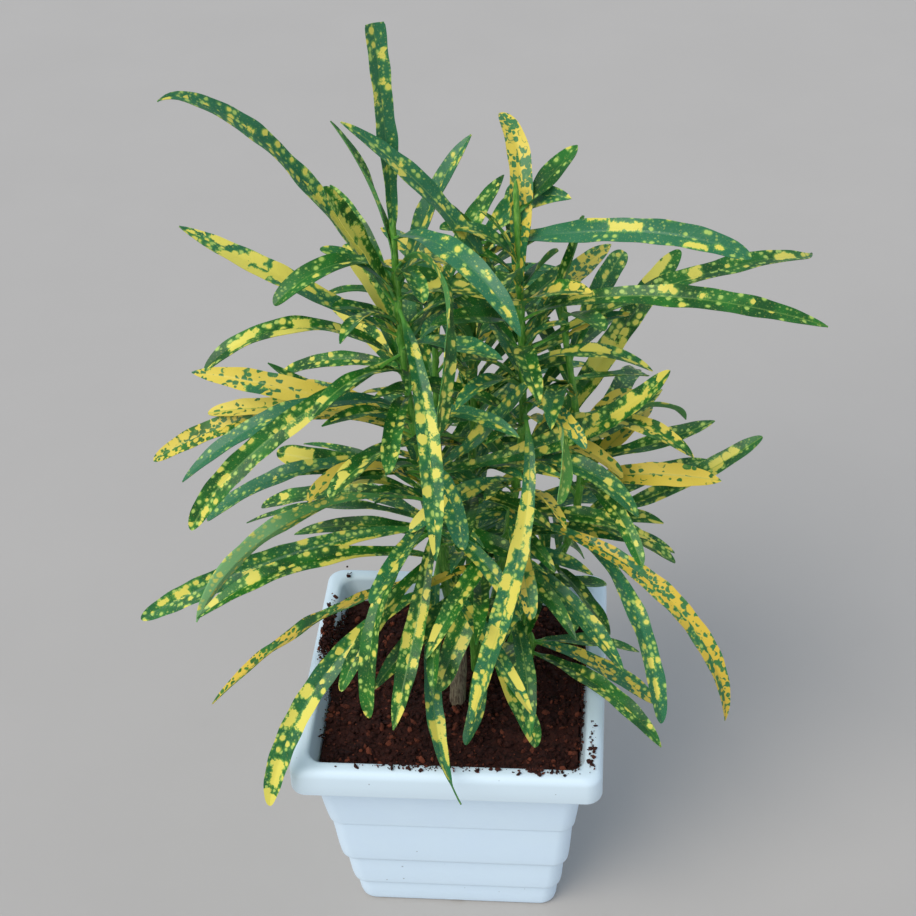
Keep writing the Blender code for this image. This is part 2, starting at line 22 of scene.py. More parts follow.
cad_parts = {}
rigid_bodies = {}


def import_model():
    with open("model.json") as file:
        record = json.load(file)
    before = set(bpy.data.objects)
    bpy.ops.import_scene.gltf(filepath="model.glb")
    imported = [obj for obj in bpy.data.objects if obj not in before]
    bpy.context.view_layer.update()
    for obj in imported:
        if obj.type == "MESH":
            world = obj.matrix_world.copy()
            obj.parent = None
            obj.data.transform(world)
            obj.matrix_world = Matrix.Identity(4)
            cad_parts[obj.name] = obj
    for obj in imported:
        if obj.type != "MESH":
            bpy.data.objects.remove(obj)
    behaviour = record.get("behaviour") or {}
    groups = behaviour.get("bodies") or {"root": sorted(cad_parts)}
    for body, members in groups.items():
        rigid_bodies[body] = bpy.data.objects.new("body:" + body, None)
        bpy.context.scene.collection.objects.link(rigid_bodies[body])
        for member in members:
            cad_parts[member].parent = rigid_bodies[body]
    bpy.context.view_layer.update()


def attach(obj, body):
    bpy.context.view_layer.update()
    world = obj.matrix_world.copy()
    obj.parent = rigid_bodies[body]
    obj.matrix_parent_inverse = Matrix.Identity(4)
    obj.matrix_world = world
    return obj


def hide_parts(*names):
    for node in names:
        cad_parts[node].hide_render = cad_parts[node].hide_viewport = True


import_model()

LOG = logging.getLogger("potted_croton")
Colour = tuple[float, float, float]
Place = tuple[float, float, float]
Block = tuple[float, float, float, float]
Faces = list[tuple[int, ...]]
Shell = tuple[np.ndarray, Faces, dict[str, np.ndarray]]
BODY = "root"

# Pot
POT_HEIGHT = 0.105
RIM_HALF = 0.065
RIM_DEPTH = 0.014
RIM_SKIRT = 0.0022
LIP_WIDTH = 0.0078
CORNER_RADIUS = 0.0068
FLOOR = 0.003
INNER_HALF_LOW, INNER_HALF_HIGH = 0.0412, 0.0550
# Each tier: foot height, half-width just above its rounded foot, half-width at its top, rounding
TIERS = (
    (0.0, 0.0442, 0.0454, 0.0024),
    (0.0135, 0.0468, 0.0484, 0.0024),
    (0.033, 0.0503, 0.0524, 0.0026),
    (0.060, 0.0534, 0.0570, 0.0014),
)
NOTCH_RADIUS, NOTCH_RISE, NOTCH_INNER = 0.006, 0.0015, 0.034
DRAIN_RADIUS, DRAIN_PLACE = 0.004, 0.021

# Soil
SOIL_EDGE, SOIL_MIDDLE = 0.0935, 0.0962
SOIL_LUMP = 0.0011
GAP = 0.00035

# Stems
ROOT_FOOT = 0.062
SOIL_LEVEL = 0.096
STEM_SIDES = 7
STEM_STEP = 0.022
BUD_HEIGHT, BUD_WIDTH = 0.005, 0.3  # its width is a share of the stem's
# Places along each stem, from the soil up
STEM_LINES = {
    "left": ((0.0015, -0.012, 0.096), (0.003, -0.011, 0.125), (-0.004, -0.006, 0.185),
             (-0.013, -0.001, 0.260), (-0.014, 0.0, 0.326)),
    "right": ((0.0085, -0.012, 0.096), (0.013, -0.008, 0.122), (0.022, -0.002, 0.167),
              (0.031, 0.0, 0.229), (0.032, 0.0, 0.272), (0.031, 0.003, 0.338)),
    "far_right": ((0.021, 0.009, 0.096), (0.031, 0.010, 0.130), (0.049, 0.008, 0.172),
                  (0.054, 0.006, 0.215), (0.046, 0.002, 0.296)),
    "middle": ((0.008, 0.008, 0.096), (0.007, 0.012, 0.150), (0.011, 0.016, 0.230), (0.013, 0.015, 0.312)),
    "back": ((-0.001, 0.020, 0.096), (-0.006, 0.032, 0.150), (-0.007, 0.042, 0.220), (-0.005, 0.047, 0.280)),
    "side": ((0.031, 0.008, 0.096), (0.033, 0.007, 0.115)),
}
# Radius at the soil and at the tip
STEM_RADII = {
    "left": (0.0036, 0.0013),
    "right": (0.0022, 0.0011),
    "far_right": (0.0021, 0.0010),
    "middle": (0.0022, 0.0010),
    "back": (0.0021, 0.0010),
    "side": (0.0021, 0.0015),
}
WOODY = 0.45  # share of the left stem's height over which the trunk narrows
TRUNK_TAPER = 0.75  # share of its narrowing that comes there
STEM_NODES = {
    "left": "leafy_stem_left",
    "right": "leafy_stem_right",
    "far_right": "leafy_stem_far_right",
    "middle": "leafy_stem_middle",
    "back": "leafy_stem_back",
    "side": "side_shoot",
}

# Leaves
BLADE_THICKNESS = 0.0007
PETIOLE_HALF = 0.0009
PETIOLE_SHARE = 0.09  # share of a leaf's length that is bare stalk
ROLL_SPEED = 2.5  # a leaf has rolled in full by 1 / 2.5 of its length
FOLD = math.radians(20)  # how far each half rises from flat along the midrib
WAVE_HEIGHT = 0.0007
WAVE_LENGTH = 0.031
WAVE_OFFSET = 2.2  # how far the wave of one edge runs ahead of the other's
WAVE_FADE = 1.15  # above 1, the wave dies out before the tip
WIDEST_AT = 0.5  # share of the blade
STALK_WIDTH, GAINED_WIDTH = 0.48, 0.52  # shares of the full width, at the stalk and gained up to the widest
NARROWS_AT, NARROWS_OVER, NARROWS_POWER = 0.72, 0.28, 2.3  # two shares of the blade, and how late
LEAST_HALF = 0.0005  # half the width of the last section
STALK_THICKNESS = 1.6  # of PETIOLE_HALF
BARE_SHARE = 0.02  # share of the blade that still has the stalk's form
FEWEST_SECTIONS, MOST_SECTIONS = 5, 9
SECTIONS_FIRST, SECTIONS_PER_METRE, DEGREES_PER_SECTION = 2.5, 24, 90
TIP_SHARE = 0.93  # where the last full section of a blade stands
LINE_STEPS = 24
PHASE_STEP = 2.4  # how far the wave of each leaf runs ahead of the last one's
CLEAR_THICKNESS, CLEAR_WIDTH = 0.0009, 0.0005  # room kept round each leaf
RIM_ZONE = (0.0558, 0.0668, 0.1066)  # inner half, outer half and top of the space that leaves keep out of
SOIL_CLEAR = 0.0988

# The leaves that shape the plant's outline, for each stem from the top down: height of the root on the stem,
# azimuth in the middle of the blade, sway of the azimuth along it, rise at the root, droop along it
# (degrees), length, width, roll about the midrib (degrees), and where the droop comes: near the root
# below 1, near the tip above
MAIN_LEAVES = {
    "left": (
        (0.318, 113, -10, 93, 17, 0.083, 0.0082, 15, 1),
        (0.320, -47, 21, 34, 95, 0.083, 0.0095, 25, 1.4),
        (0.306, 165, -2, 86, 33, 0.063, 0.0065, 20, 1.1),
        (0.305, -145, 2, 57, 94, 0.055, 0.0090, -15, 0.8),
        (0.306, -78, -83, 64, 151, 0.100, 0.0088, -75, 0.8),
        (0.296, 37, 0, 66, 23, 0.066, 0.0085, 10, 1.7),
        (0.289, -163, 33, 63, 45, 0.131, 0.0085, -35, 3.2),
        (0.292, -121, 4, 65, 7, 0.075, 0.0075, -80, 1.1),
        (0.291, -77, -23, -15, 51, 0.099, 0.0090, 0, 0.6),
        (0.277, -173, -21, 41, 11, 0.094, 0.0088, -35, 0.7),
        (0.270, -149, -26, -5, 56, 0.110, 0.0098, -45, 1.5),
        (0.270, 132, 0, 72, 52, 0.049, 0.0088, -5, 0.8),
        (0.264, -157, 5, 54, 95, 0.088, 0.0088, -10, 1.3),
        (0.238, 175, -19, 22, 27, 0.091, 0.0102, -45, 1.5),
        (0.240, -155, -13, 69, 112, 0.105, 0.0088, -15, 0.6),
        (0.233, 173, 3, 27, 42, 0.087, 0.0090, -20, 0.6),
        (0.230, 179, 38, 29, 58, 0.115, 0.0090, -35, 0.6),
        (0.178, -85, 48, -69, -64, 0.111, 0.0078, -15, 1.3),
        (0.215, 172, -32, 13, 17, 0.062, 0.0100, -45, 0.6),
        (0.213, -7, -14, 18, -41, 0.116, 0.0092, 45, 1.9),
        (0.212, -9, 3, 43, -15, 0.068, 0.0088, 25, 1.1),
        (0.208, -155, 15, 48, 99, 0.057, 0.0088, 0, 1.5),
        (0.211, -168, 17, 47, 83, 0.095, 0.0088, -5, 0.6),
        (0.201, -156, 9, 33, 96, 0.118, 0.0102, 80, 0.9),
        (0.190, 166, 4, 19, 50, 0.090, 0.0070, 10, 0.6),
        (0.191, -104, -17, -25, 31, 0.086, 0.0092, -10, 0.6),
        (0.188, -168, -8, 15, 46, 0.130, 0.0102, -45, 0.6),
        (0.186, -109, 37, 36, 118, 0.092, 0.0082, 15, 0.6),
        (0.174, -155, 7, 25, 55, 0.107, 0.0090, -15, 1.3),
        (0.164, -172, 17, -8, 38, 0.125, 0.0088, 5, 0.6),
        (0.159, -138, 3, 26, 103, 0.131, 0.0098, -35, 0.7),
        (0.190, -27, 18, 19, 33, 0.039, 0.0088, 15, 0.6),
    ),
    "right": (
        (0.329, 47, 18, 34, 14, 0.035, 0.0085, 5, 0.9),
        (0.298, 56, 9, 30, 36, 0.025, 0.0085, -50, 0.9),
        (0.286, -170, 3, 64, 24, 0.106, 0.0088, -35, 1.6),
        (0.290, 86, 78, 91, 80, 0.079, 0.0088, 0, 2),
        (0.284, -8, 27, 51, 74, 0.120, 0.0090, 35, 0.6),
        (0.273, 54, 0, 47, 46, 0.060, 0.0092, 20, 0.6),
        (0.269, 31, -11, 52, -28, 0.060, 0.0085, -15, 1.6),
        (0.270, 20, 52, 38, 66, 0.133, 0.0088, 15, 1.2),
        (0.260, -74, -64, 6, 51, 0.059, 0.0102, -70, 0.6),
        (0.246, -118, -91, -26, 52, 0.137, 0.0090, -15, 0.6),
        (0.228, -9, -3, 18, 70, 0.045, 0.0088, 0, 1),
        (0.220, 32, 16, -10, -31, 0.068, 0.0088, 10, 0.7),
        (0.207, 39, 37, 52, 40, 0.117, 0.0102, 30, 2.9),
        (0.204, -59, -6, 41, 57, 0.045, 0.0085, -35, 1.1),
        (0.191, -27, -5, 5, 97, 0.137, 0.0088, 25, 1.4),
        (0.169, -119, -5, 7, 65, 0.063, 0.0102, -25, 0.6),
        (0.192, -1, -3, 16, 56, 0.073, 0.0085, 0, 0.6),
        (0.160, -35, 7, 17, 91, 0.045, 0.0088, 10, 2),
        (0.157, 15, 24, 1, 21, 0.048, 0.0085, 0, 0.6),
        (0.118, -99, -47, 1, 43, 0.040, 0.0082, 25, 0.6),
    ),
    "far_right": (
        (0.256, 28, 22, -5, 23, 0.035, 0.0070, -10, 1.3),
        (0.238, 29, 40, 2, 65, 0.056, 0.0070, -25, 2),
        (0.215, 4, 21, 16, -5, 0.056, 0.0090, 10, 1),
        (0.206, 46, 19, 33, 38, 0.045, 0.0090, 5, 1.6),
        (0.203, -12, 7, 32, 37, 0.059, 0.0100, 45, 0.8),
        (0.184, 9, 20, 12, -21, 0.084, 0.0088, 15, 0.7),
        (0.173, -61, -21, 43, 112, 0.098, 0.0085, -10, 0.6),
        (0.157, -56, 12, 14, 45, 0.044, 0.0085, -20, 1),
    ),
    "middle": (
        (0.304, -9, -20, 57, 70, 0.051, 0.0095, 50, 2.3),
        (0.309, -18, 20, 21, 47, 0.111, 0.0095, 45, 2.5),
    ),
    "back": ((0.213, -175, -27, 8, -32, 0.075, 0.0082, 0, 1.3),),
    "side": (
        (0.114, 10, 11, 14, 45, 0.050, 0.0085, -5, 0.6),
        (0.114, -17, 7, 17, 56, 0.061, 0.0088, 10, 0.6),
        (0.108, -38, 6, 15, 61, 0.077, 0.0088, 10, 1.6),
        (0.108, -83, 95, 53, 136, 0.085, 0.0095, 10, 1.6),
    ),
}
# The rows of leaves that fill each stem: how many, lowest and highest root, rise at the lowest and highest,
# length at the lowest and highest, middle azimuth and how wide the row fans about it
FILL_LEAVES = {
    "left": (
        (8, 0.150, 0.290, 15, 60, 0.078, 0.052, 80, 170),
        (14, 0.165, 0.304, 10, 55, 0.070, 0.048, -75, 150),
    ),
    "right": (
        (6, 0.150, 0.300, 20, 58, 0.080, 0.044, 90, 180),
        (18, 0.156, 0.308, 12, 60, 0.073, 0.038, -80, 180),
    ),
    "far_right": (
        (8, 0.160, 0.280, 15, 62, 0.076, 0.050, 100, 150),
        (8, 0.170, 0.284, 15, 60, 0.068, 0.046, -105, 150),
    ),
    "middle": (
        (8, 0.150, 0.268, 35, 64, 0.078, 0.050, 90, 200),
        (21, 0.155, 0.288, 38, 74, 0.080, 0.046, -90, 230),
    ),
    "back": ((18, 0.140, 0.262, 5, 52, 0.092, 0.060, 90, 180),),
    "side": ((1, 0.111, 0.112, 50, 55, 0.050, 0.050, 150, 0),),
}
GOLDEN_SHARE = 0.618034
SEED, THIN_SEED = 11, 31
SPREAD = 11  # how far, in degrees, a leaf strays from its place in the fan
FRONT_ROLL = 18  # how far, in degrees, the leaves at the sides turn their faces to the front
FILL_SWAY, RISE_STRAY, ROLL_STRAY = 25, 8, 15  # the most, in degrees
LENGTH_STRAY = 0.14  # the most, as a share
FILL_DROOP = (35, 80)
FILL_WIDTH = (0.0064, 0.0094)
NUDGES = (2, 4, 7, 10, 14, 18, 23, 29, 36)  # degrees that a leaf may be bent clear

# What each main leaf shows, in the order of its list: see Pattern. The C and O leaves carry painted teal sky
# sheen all over.
MAIN_PATTERNS = {
    "left": "OCDDSSOPSBPSSGCGMCSSPGPUDSPPPRSD",
    "right": "DDPMDMPPUSGSSGRSSPDP",
    "far_right": "PDPGGSPP",
    "middle": "SC",
    "back": "D",
    "side": "PMPS",
}
FILL_PATTERNS = "PPPPPPSSSSSSBBDDMG"
# Yellow blocks of single main leaves, by stem and place in its list: start and end as shares of the length,
# low and high edge across the blade from -1 to 1
GOLD_BLOCKS = {
    ("left", 0): ((0.67, 0.72, 0.5, 0.95), (0.85, 0.88, -0.7, 0), (0.745, 0.77, -0.5, 0)),
    ("left", 1): (
        (0.28, 0.31, -0.8, -0.4), (0.42, 0.46, 0.5, 0.8), (0.5, 0.53, -0.9, -0.5), (0.62, 0.67, -0.8, -0.4),
        (0.7, 0.73, 0.3, 0.7), (0.86, 0.91, -0.3, 0.2),
    ),
    ("left", 5): ((0.6, 0.63, 0.2, 0.8), (0.81, 0.84, -0.6, 0)),
    ("left", 6): ((0.21, 0.37, -0.7, 0.5), (0.41, 0.44, -0.4, 0.4), (0.7, 0.72, -0.3, 0.3)),
    ("left", 7): (
        (0.4, 0.58, 0, 1), (0.56, 0.66, -0.6, 0.1), (0.62, 0.82, 0.35, 1), (0.84, 0.94, -0.9, -0.6),
    ),
    ("left", 8): (
        (0.2, 0.24, 0.3, 0.8), (0.455, 0.53, 0.1, 0.8), (0.55, 0.6, 0.1, 0.75),
        (0.65, 0.69, 0.05, 0.65), (0.32, 0.36, -1, -0.5), (0.18, 0.22, -0.3, 0.1),
        (0.37, 0.43, 0.1, 0.5), (0.57, 0.6, -0.9, -0.5),
    ),
    ("left", 9): (
        (0.515, 0.615, -0.95, 0.3), (0.615, 0.7, 0.35, 1), (0.65, 0.72, -0.9, 0),
        (0.74, 0.83, 0.2, 0.9), (0.93, 0.97, -0.4, 0.2),
    ),
    ("left", 10): (
        (0, 0.12, -0.8, -0.1), (0.185, 0.3, -0.95, -0.45), (0.29, 0.35, 0.2, 0.8),
        (0.41, 0.5, 0.45, 1), (0.45, 0.48, -0.5, 0), (0.37, 0.41, -0.1, 0.1), (0.74, 0.8, -0.3, 0.2),
        (0.88, 0.93, 0.1, 0.7),
    ),
    ("left", 11): ((0.18, 0.82, 0, 1),),
    ("left", 12): ((0.5, 0.575, -0.75, 0.25), (0.78, 0.86, -0.5, 0.5), (0.72, 0.75, -0.7, -0.2)),
    ("left", 13): ((0.2, 0.97, -1, 0.35), (0.2, 0.62, -1, 1), (0.8, 0.97, -0.6, 0.8)),
    ("left", 15): ((0.35, 1, -1, 1),),
    ("left", 16): ((0.44, 0.7, -1, 0.2), (0.7, 1, -1, 1)),
    ("left", 17): (
        (0.21, 0.35, -1, -0.5), (0.35, 0.43, -0.6, 0.7), (0.64, 0.83, 0.4, 0.95),
        (0.655, 0.73, -0.8, 0.2), (0.82, 0.88, -0.9, -0.4),
    ),
    ("left", 18): (
        (0.2, 0.27, 0, 0.6), (0.3, 0.36, -0.8, -0.2), (0.45, 0.54, 0.2, 0.8), (0.73, 0.94, -0.8, 0.7),
    ),
    ("left", 19): (
        (0.6, 0.66, -0.6, -0.1), (0.715, 0.88, -0.4, 0.3), (0.65, 0.68, 0.3, 0.9),
        (0.8, 0.83, 0.3, 0.95), (0.87, 0.9, 0.1, 0.5),
    ),
    ("left", 20): ((0.42, 0.55, 0.3, 0.8), (0.18, 0.23, -0.4, 0.1)),
    ("left", 21): ((0.45, 1, -1, 1),),
    ("left", 25): (
        (0, 0.13, 0.2, 0.9), (0.18, 0.22, -0.4, 0.1), (0.39, 0.55, 0.1, 0.75),
        (0.54, 0.61, -0.85, -0.2), (0.65, 0.69, 0.2, 0.8), (0.82, 0.87, -0.6, 0.1),
    ),
    ("left", 26): (
        (0.19, 0.3, 0.5, 1), (0.58, 0.625, 0.1, 0.8), (0.81, 0.86, -0.7, -0.1),
        (0.88, 0.925, -0.7, -0.2), (0.4, 0.43, -1, -0.6),
    ),
    ("left", 28): ((0.28, 0.5, 0.45, 1), (0.72, 0.78, -0.8, 0.1)),
    ("left", 29): (
        (0.3, 0.36, -0.8, 0.6), (0.57, 0.65, -0.9, 0.7), (0.71, 0.82, -0.7, 0.9),
        (0.85, 0.96, -1, 0.8),
    ),
    ("left", 30): (
        (0.3, 0.38, -0.2, 0.5), (0.58, 0.7, 0.2, 1), (0.56, 0.6, -0.9, 0), (0.65, 0.71, -0.8, -0.1),
        (0.82, 0.92, -0.4, 0.6), (0.95, 1, -1, 1),
    ),
    ("right", 2): ((0.395, 0.445, -0.1, 0.8), (0.735, 0.755, -0.4, 0.1)),
    ("right", 3): ((0.4, 0.45, -0.8, 0.5), (0.5, 1, -1, 1)),
    ("right", 4): (
        (0.19, 0.28, 0.35, 0.9), (0.245, 0.28, -0.5, -0.1), (0.475, 0.52, 0.35, 0.95),
        (0.6, 0.62, 0.1, 0.5),
    ),
    ("right", 5): ((0.5, 1, -1, 0.6),),
    ("right", 7): (
        (0.17, 0.225, -0.4, 0.8), (0.53, 0.57, -0.2, 0.9), (0.68, 0.7, 0.5, 0.9),
        (0.81, 0.89, -0.4, 0.5),
    ),
    ("right", 9): (
        (0.19, 0.22, 0.1, 0.7), (0.25, 0.29, -0.7, 0.5), (0.305, 0.345, -0.9, 0.7),
        (0.355, 0.415, -0.9, 0.1), (0.37, 0.43, 0.35, 0.9), (0.5, 0.6, 0.1, 0.95), (0.49, 0.54, -0.9, -0.1),
        (0.655, 0.725, -0.8, 0.3), (0.66, 0.68, 0.6, 1), (0.8, 0.85, 0, 0.5), (0.86, 0.95, -0.6, 0.5),
    ),
    ("right", 10): ((0.4, 1, -0.7, 1),),
    ("right", 11): ((0.5, 0.6, 0, 0.6),),
    ("right", 12): (
        (0.34, 0.42, -0.9, -0.25), (0.44, 0.63, -0.95, -0.4), (0.485, 0.6, -0.5, 0.85),
        (0.85, 0.95, 0.1, 0.85),
    ),
    ("right", 13): ((0.3, 1, -1, 1),),
    ("right", 14): ((0.2, 0.38, -1, -0.7), (0.43, 1, -0.1, 1), (0.38, 0.98, -1, -0.75)),
    ("right", 15): (
        (0.33, 0.38, 0.2, 0.7), (0.46, 0.54, 0.1, 0.8), (0.61, 0.7, 0.1, 0.8),
        (0.18, 0.26, -0.7, -0.3),
    ),
    ("right", 16): ((0.78, 0.84, -0.1, 0.4), (0.38, 0.43, 0.2, 0.8)),
    ("right", 19): ((0.38, 0.6, -0.9, 0.2),),
    ("far_right", 2): ((0.58, 0.65, 0, 0.7), (0.8, 0.83, -0.6, -0.2)),
    ("far_right", 3): ((0.2, 1, -1, 1),),
    ("far_right", 4): ((0.08, 1, -1, 1),),
    ("far_right", 5): ((0.15, 0.24, 0.2, 0.9), (0.715, 0.78, -0.5, 0.6), (0.83, 0.87, -0.1, 0.7)),
    ("far_right", 6): ((0.72, 0.77, -0.4, 0.3), (0.81, 0.9, -0.3, 0.2), (0.5, 0.53, 0.4, 0.8)),
    ("middle", 0): ((0.3, 0.36, -0.6, 0), (0.6, 0.66, 0.1, 0.7)),
    ("middle", 1): (
        (0.19, 0.26, 0.4, 0.95), (0.46, 0.53, 0.8, 1), (0.53, 0.64, 0, 0.65),
        (0.78, 0.86, -0.85, -0.4), (0.88, 0.91, -0.5, 0),
    ),
    ("side", 3): ((0.3, 0.55, -1, -0.3), (0.6, 0.74, -1, -0.55)),
}
# Further thin leaves between the others, as in FILL_LEAVES
THIN_LEAVES = {
    "left": (
        (8, 0.160, 0.296, 30, 72, 0.052, 0.038, 90, 300),
        (8, 0.150, 0.300, 30, 74, 0.046, 0.032, -90, 200),
    ),
    "right": (
        (8, 0.150, 0.300, 30, 72, 0.052, 0.034, 90, 300),
        (10, 0.150, 0.306, 34, 76, 0.046, 0.028, -90, 180),
    ),
    "far_right": (
        (6, 0.150, 0.270, 30, 72, 0.044, 0.030, 90, 300),
        (5, 0.150, 0.276, 38, 76, 0.040, 0.028, -90, 180),
    ),
    "middle": (
        (10, 0.150, 0.290, 50, 76, 0.056, 0.042, 90, 300),
        (9, 0.160, 0.296, 50, 78, 0.054, 0.036, -90, 220),
    ),
    "back": (
        (8, 0.130, 0.255, 20, 62, 0.070, 0.050, 90, 260),
        (6, 0.150, 0.250, 30, 70, 0.055, 0.045, -90, 200),
    ),
    "side": (),
}
THIN_WIDTH = (0.0042, 0.0066)


def screen_colour(code: str) -> Colour:
    """Turns a screen colour into the linear colour that shaders take.

    Args:
        code: six hexadecimal digits.

    Returns:
        Its red, green and blue.
    """
    shares = [int(code[i : i + 2], 16) / 255 for i in (0, 2, 4)]
    red, green, blue = (c / 12.92 if c <= 0.04045 else ((c + 0.055) / 1.055) ** 2.4 for c in shares)
    return red, green, blue


class Wire:
    """A socket of a material, with the operators that its expressions use."""

    def __init__(self, shader: "Shader", socket: bpy.types.NodeSocket) -> None:
        """Wraps one output socket."""
        self.shader = shader
        self.socket = socket

    def out(self, name: str) -> "Wire":
        """Another output of the same node."""
        return Wire(self.shader, self.socket.node.outputs[name])

    def __add__(self, other: "Wire | float") -> "Wire":
        """The sum."""
        return self.shader.maths("ADD", self, other)

    __radd__ = __add__

    def __sub__(self, other: "Wire | float") -> "Wire":
        """This less the other."""
        return self.shader.maths("SUBTRACT", self, other)

    def __rsub__(self, other: float) -> "Wire":
        """The other less this."""
        return self.shader.maths("SUBTRACT", other, self)

    def __mul__(self, other: "Wire | float") -> "Wire":
        """The product."""
        return self.shader.maths("MULTIPLY", self, other)

    __rmul__ = __mul__


class Shader:
    """A material's nodes, written as expressions on wires."""

    def __init__(self, name: str) -> None:
        """Makes a new material with its Principled node.

        Args:
            name: the material's name.
        """
        self.material = bpy.data.materials.new(name)
        self.material.use_nodes = True
        self.tree = self.material.node_tree
        self.surface = self.tree.nodes["Principled BSDF"]

    def plug(self, socket: bpy.types.NodeSocket, value: Any) -> None:
        """Links a wire to a socket, or sets the socket's own value.

        Args:
            socket: an input socket.
            value: a wire, a number, a colour or a vector.
        """
        if isinstance(value, Wire):
            self.tree.links.new(value.socket, socket)
        elif socket.type == "RGBA" and len(value) == 3:
            socket.default_value = (*value, 1.0)
        else:
            socket.default_value = value

    def node(
        self,
        kind: str,
        settings: dict[str, Any] | None = None,
        sockets: dict[str | int, Any] | None = None,
        out: str | int = 0,
    ) -> Wire:
        """Adds a node of any type.

        Args:
            kind: the type's name after ShaderNode.
            settings: the node's own settings, which are set first.
            sockets: a value or a wire for each input, by name or place.
            out: the output to hand back, by name or place.

        Returns:
            A wire from that output.
        """
        made = self.tree.nodes.new("ShaderNode" + kind)
        for key, value in (settings or {}).items():
            setattr(made, key, value)
        for key, value in (sockets or {}).items():
            self.plug(made.inputs[key], value)
        return Wire(self, made.outputs[out])

    def maths(self, operation: str, first: Wire | float, second: Wire | float = 0.0) -> Wire:
        """One Math node on one or two values."""
        return self.node("Math", {"operation": operation}, {0: first, 1: second})

    def edge(self, value: Wire, start: Wire | float, end: Wire | float) -> Wire:
        """A soft step: 0 up to start, 1 from end, and the other way round where start is above end."""
        ends = {"Value": value, "From Min": start, "From Max": end}
        return self.node("MapRange", {"interpolation_type": "SMOOTHSTEP"}, ends)

    def mix(self, share: Wire | float, first: Any, second: Any) -> Wire:
        """A colour between two, by a share."""
        return self.node("Mix", {"data_type": "RGBA"}, {0: share, 6: first, 7: second}, out=2)

    def noise(self, place: Wire, scale: float, detail: float = 2.0, roughness: float = 0.5) -> Wire:
        """Cloudy noise from 0 to 1 about one half."""
        sockets = {"Vector": place, "Scale": scale, "Detail": detail, "Roughness": roughness}
        return self.node("TexNoise", {}, sockets)

    def vector(self, x: Wire | float, y: Wire | float, z: Wire | float = 0.0) -> Wire:
        """A vector from its three parts."""
        return self.node("CombineXYZ", {}, {0: x, 1: y, 2: z})

    def attribute(self, name: str) -> list[Wire]:
        """Reads a vector that the mesh carries.

        Args:
            name: the attribute's name.

        Returns:
            Its three parts.
        """
        vector = self.node("Attribute", {"attribute_name": name}, out="Vector")
        parts = self.node("SeparateXYZ", {}, {0: vector})
        return [parts, parts.out("Y"), parts.out("Z")]

    def bump(self, height: Wire, strength: float, distance: float) -> Wire:
        """A normal bent by a height, in metres at full strength."""
        return self.node("Bump", {}, {"Height": height, "Strength": strength, "Distance": distance})

    def finish(self, **sockets: Any) -> bpy.types.Material:
        """Plugs the surface's sockets.

        Args:
            **sockets: a value or a wire for each, named with underscores for spaces.

        Returns:
            The material.
        """
        for name, value in sockets.items():
            self.plug(self.surface.inputs[name.replace("_", " ")], value)
        return self.material


@dataclass(frozen=True)
class Habit:
    """How much of each marking a leaf carries, from 0 for none to 1 for all over.

    Sky sheen is a painted reflection: how far its green turns to a bluish teal in place of the sky's
    reflection on a lit leaf. At 0 that is left to chance.
    """

    gold: float
    squares: float
    spots: float
    dots: float
    chips: float = 0.0
    young: float = 0.0
    ripe: float = 0.1
    # painted sky sheen: the share of bluish teal that stands in for the sky's reflection
    sky_sheen: float = 0.0


class Pattern(Enum):
    """The kinds of leaf marking."""

    DARK = "D"
    # painted sky sheen: teal all over in place of the sky's reflection, with few spots
    TEAL_SHEEN = "C"
    DOTTED = "O"
    PEPPERED = "P"
    SPOTTED = "S"
    BLOTCHED = "B"
    MOSAIC = "M"
    RIPE = "R"
    GOLDEN = "G"
    UNRIPE = "U"

    @property
    def habit(self) -> Habit:
        """How much of each marking this kind carries.

        Returns:
            Its shares.
        """
        return {
            # the dark, teal and dotted kinds set their share of painted sky sheen: teal in place of the sky's
            # reflection, little on dark leaves
            Pattern.DARK: Habit(0.0, 0.02, 0.06, 0.34, sky_sheen=0.2),
            Pattern.TEAL_SHEEN: Habit(0.0, 0.0, 0.04, 0.26, sky_sheen=1.1),
            Pattern.DOTTED: Habit(0.0, 0.02, 0.32, 0.55, sky_sheen=0.9),
            Pattern.PEPPERED: Habit(0.0, 0.06, 0.22, 0.48),
            Pattern.SPOTTED: Habit(0.02, 0.18, 0.34, 0.48),
            Pattern.BLOTCHED: Habit(0.22, 0.28, 0.40, 0.45),
            Pattern.MOSAIC: Habit(0.50, 0.50, 0.60, 0.50, chips=1.3, ripe=0.5),
            Pattern.RIPE: Habit(0.60, 0.40, 0.50, 0.50, chips=1.1, ripe=1.0),
            Pattern.GOLDEN: Habit(0.85, 0.30, 0.30, 0.30, chips=0.45, ripe=0.6),
            Pattern.UNRIPE: Habit(0.0, 0.10, 0.45, 0.45, young=0.8),
        }[self]


class Tip(Enum):
    """How a blade ends."""

    ROUND = 1
    POINTED = 2
    CUT = 3
    DRAWN = 4
    HOOKED = 5

    def width(self, share: float) -> float:
        """Half-width along the blade, as a share of the widest, with this end.

        Args:
            share: place along the blade, from 0 to 1.

        Returns:
            The half-width.
        """
        strap = strap_width(share)
        if self is Tip.CUT:
            return strap * (1 if share < 0.992 else 0.93)
        if self is Tip.POINTED:
            return strap * narrowed(share, 0.62, 0.38, 1.9, 0.72)
        if self is Tip.HOOKED:
            return strap * (0.86 * narrowed(share, 0.62, 0.38, 2.4, 0.8) + 0.14 * (1 - share**8))
        if self is Tip.DRAWN:
            return max(strap * narrowed(share, 0.60, 0.31, 1.8, 0.8), 0.07 * (1.6 - share))
        return blade_width(share)

    def shift(self, share: float) -> float:
        """How far the tip turns sideways at a share of the blade, in metres."""
        return 0.0032 * (max(share - 0.92, 0) / 0.08) ** 2 if self is Tip.HOOKED else 0.0


# The ends of single main leaves, by stem and place in its list
TIPS = {("left", 0): Tip.CUT, ("left", 17): Tip.DRAWN, ("left", 6): Tip.HOOKED, ("left", 26): Tip.ROUND,
        ("left", 30): Tip.ROUND, ("middle", 1): Tip.ROUND, ("right", 7): Tip.HOOKED}


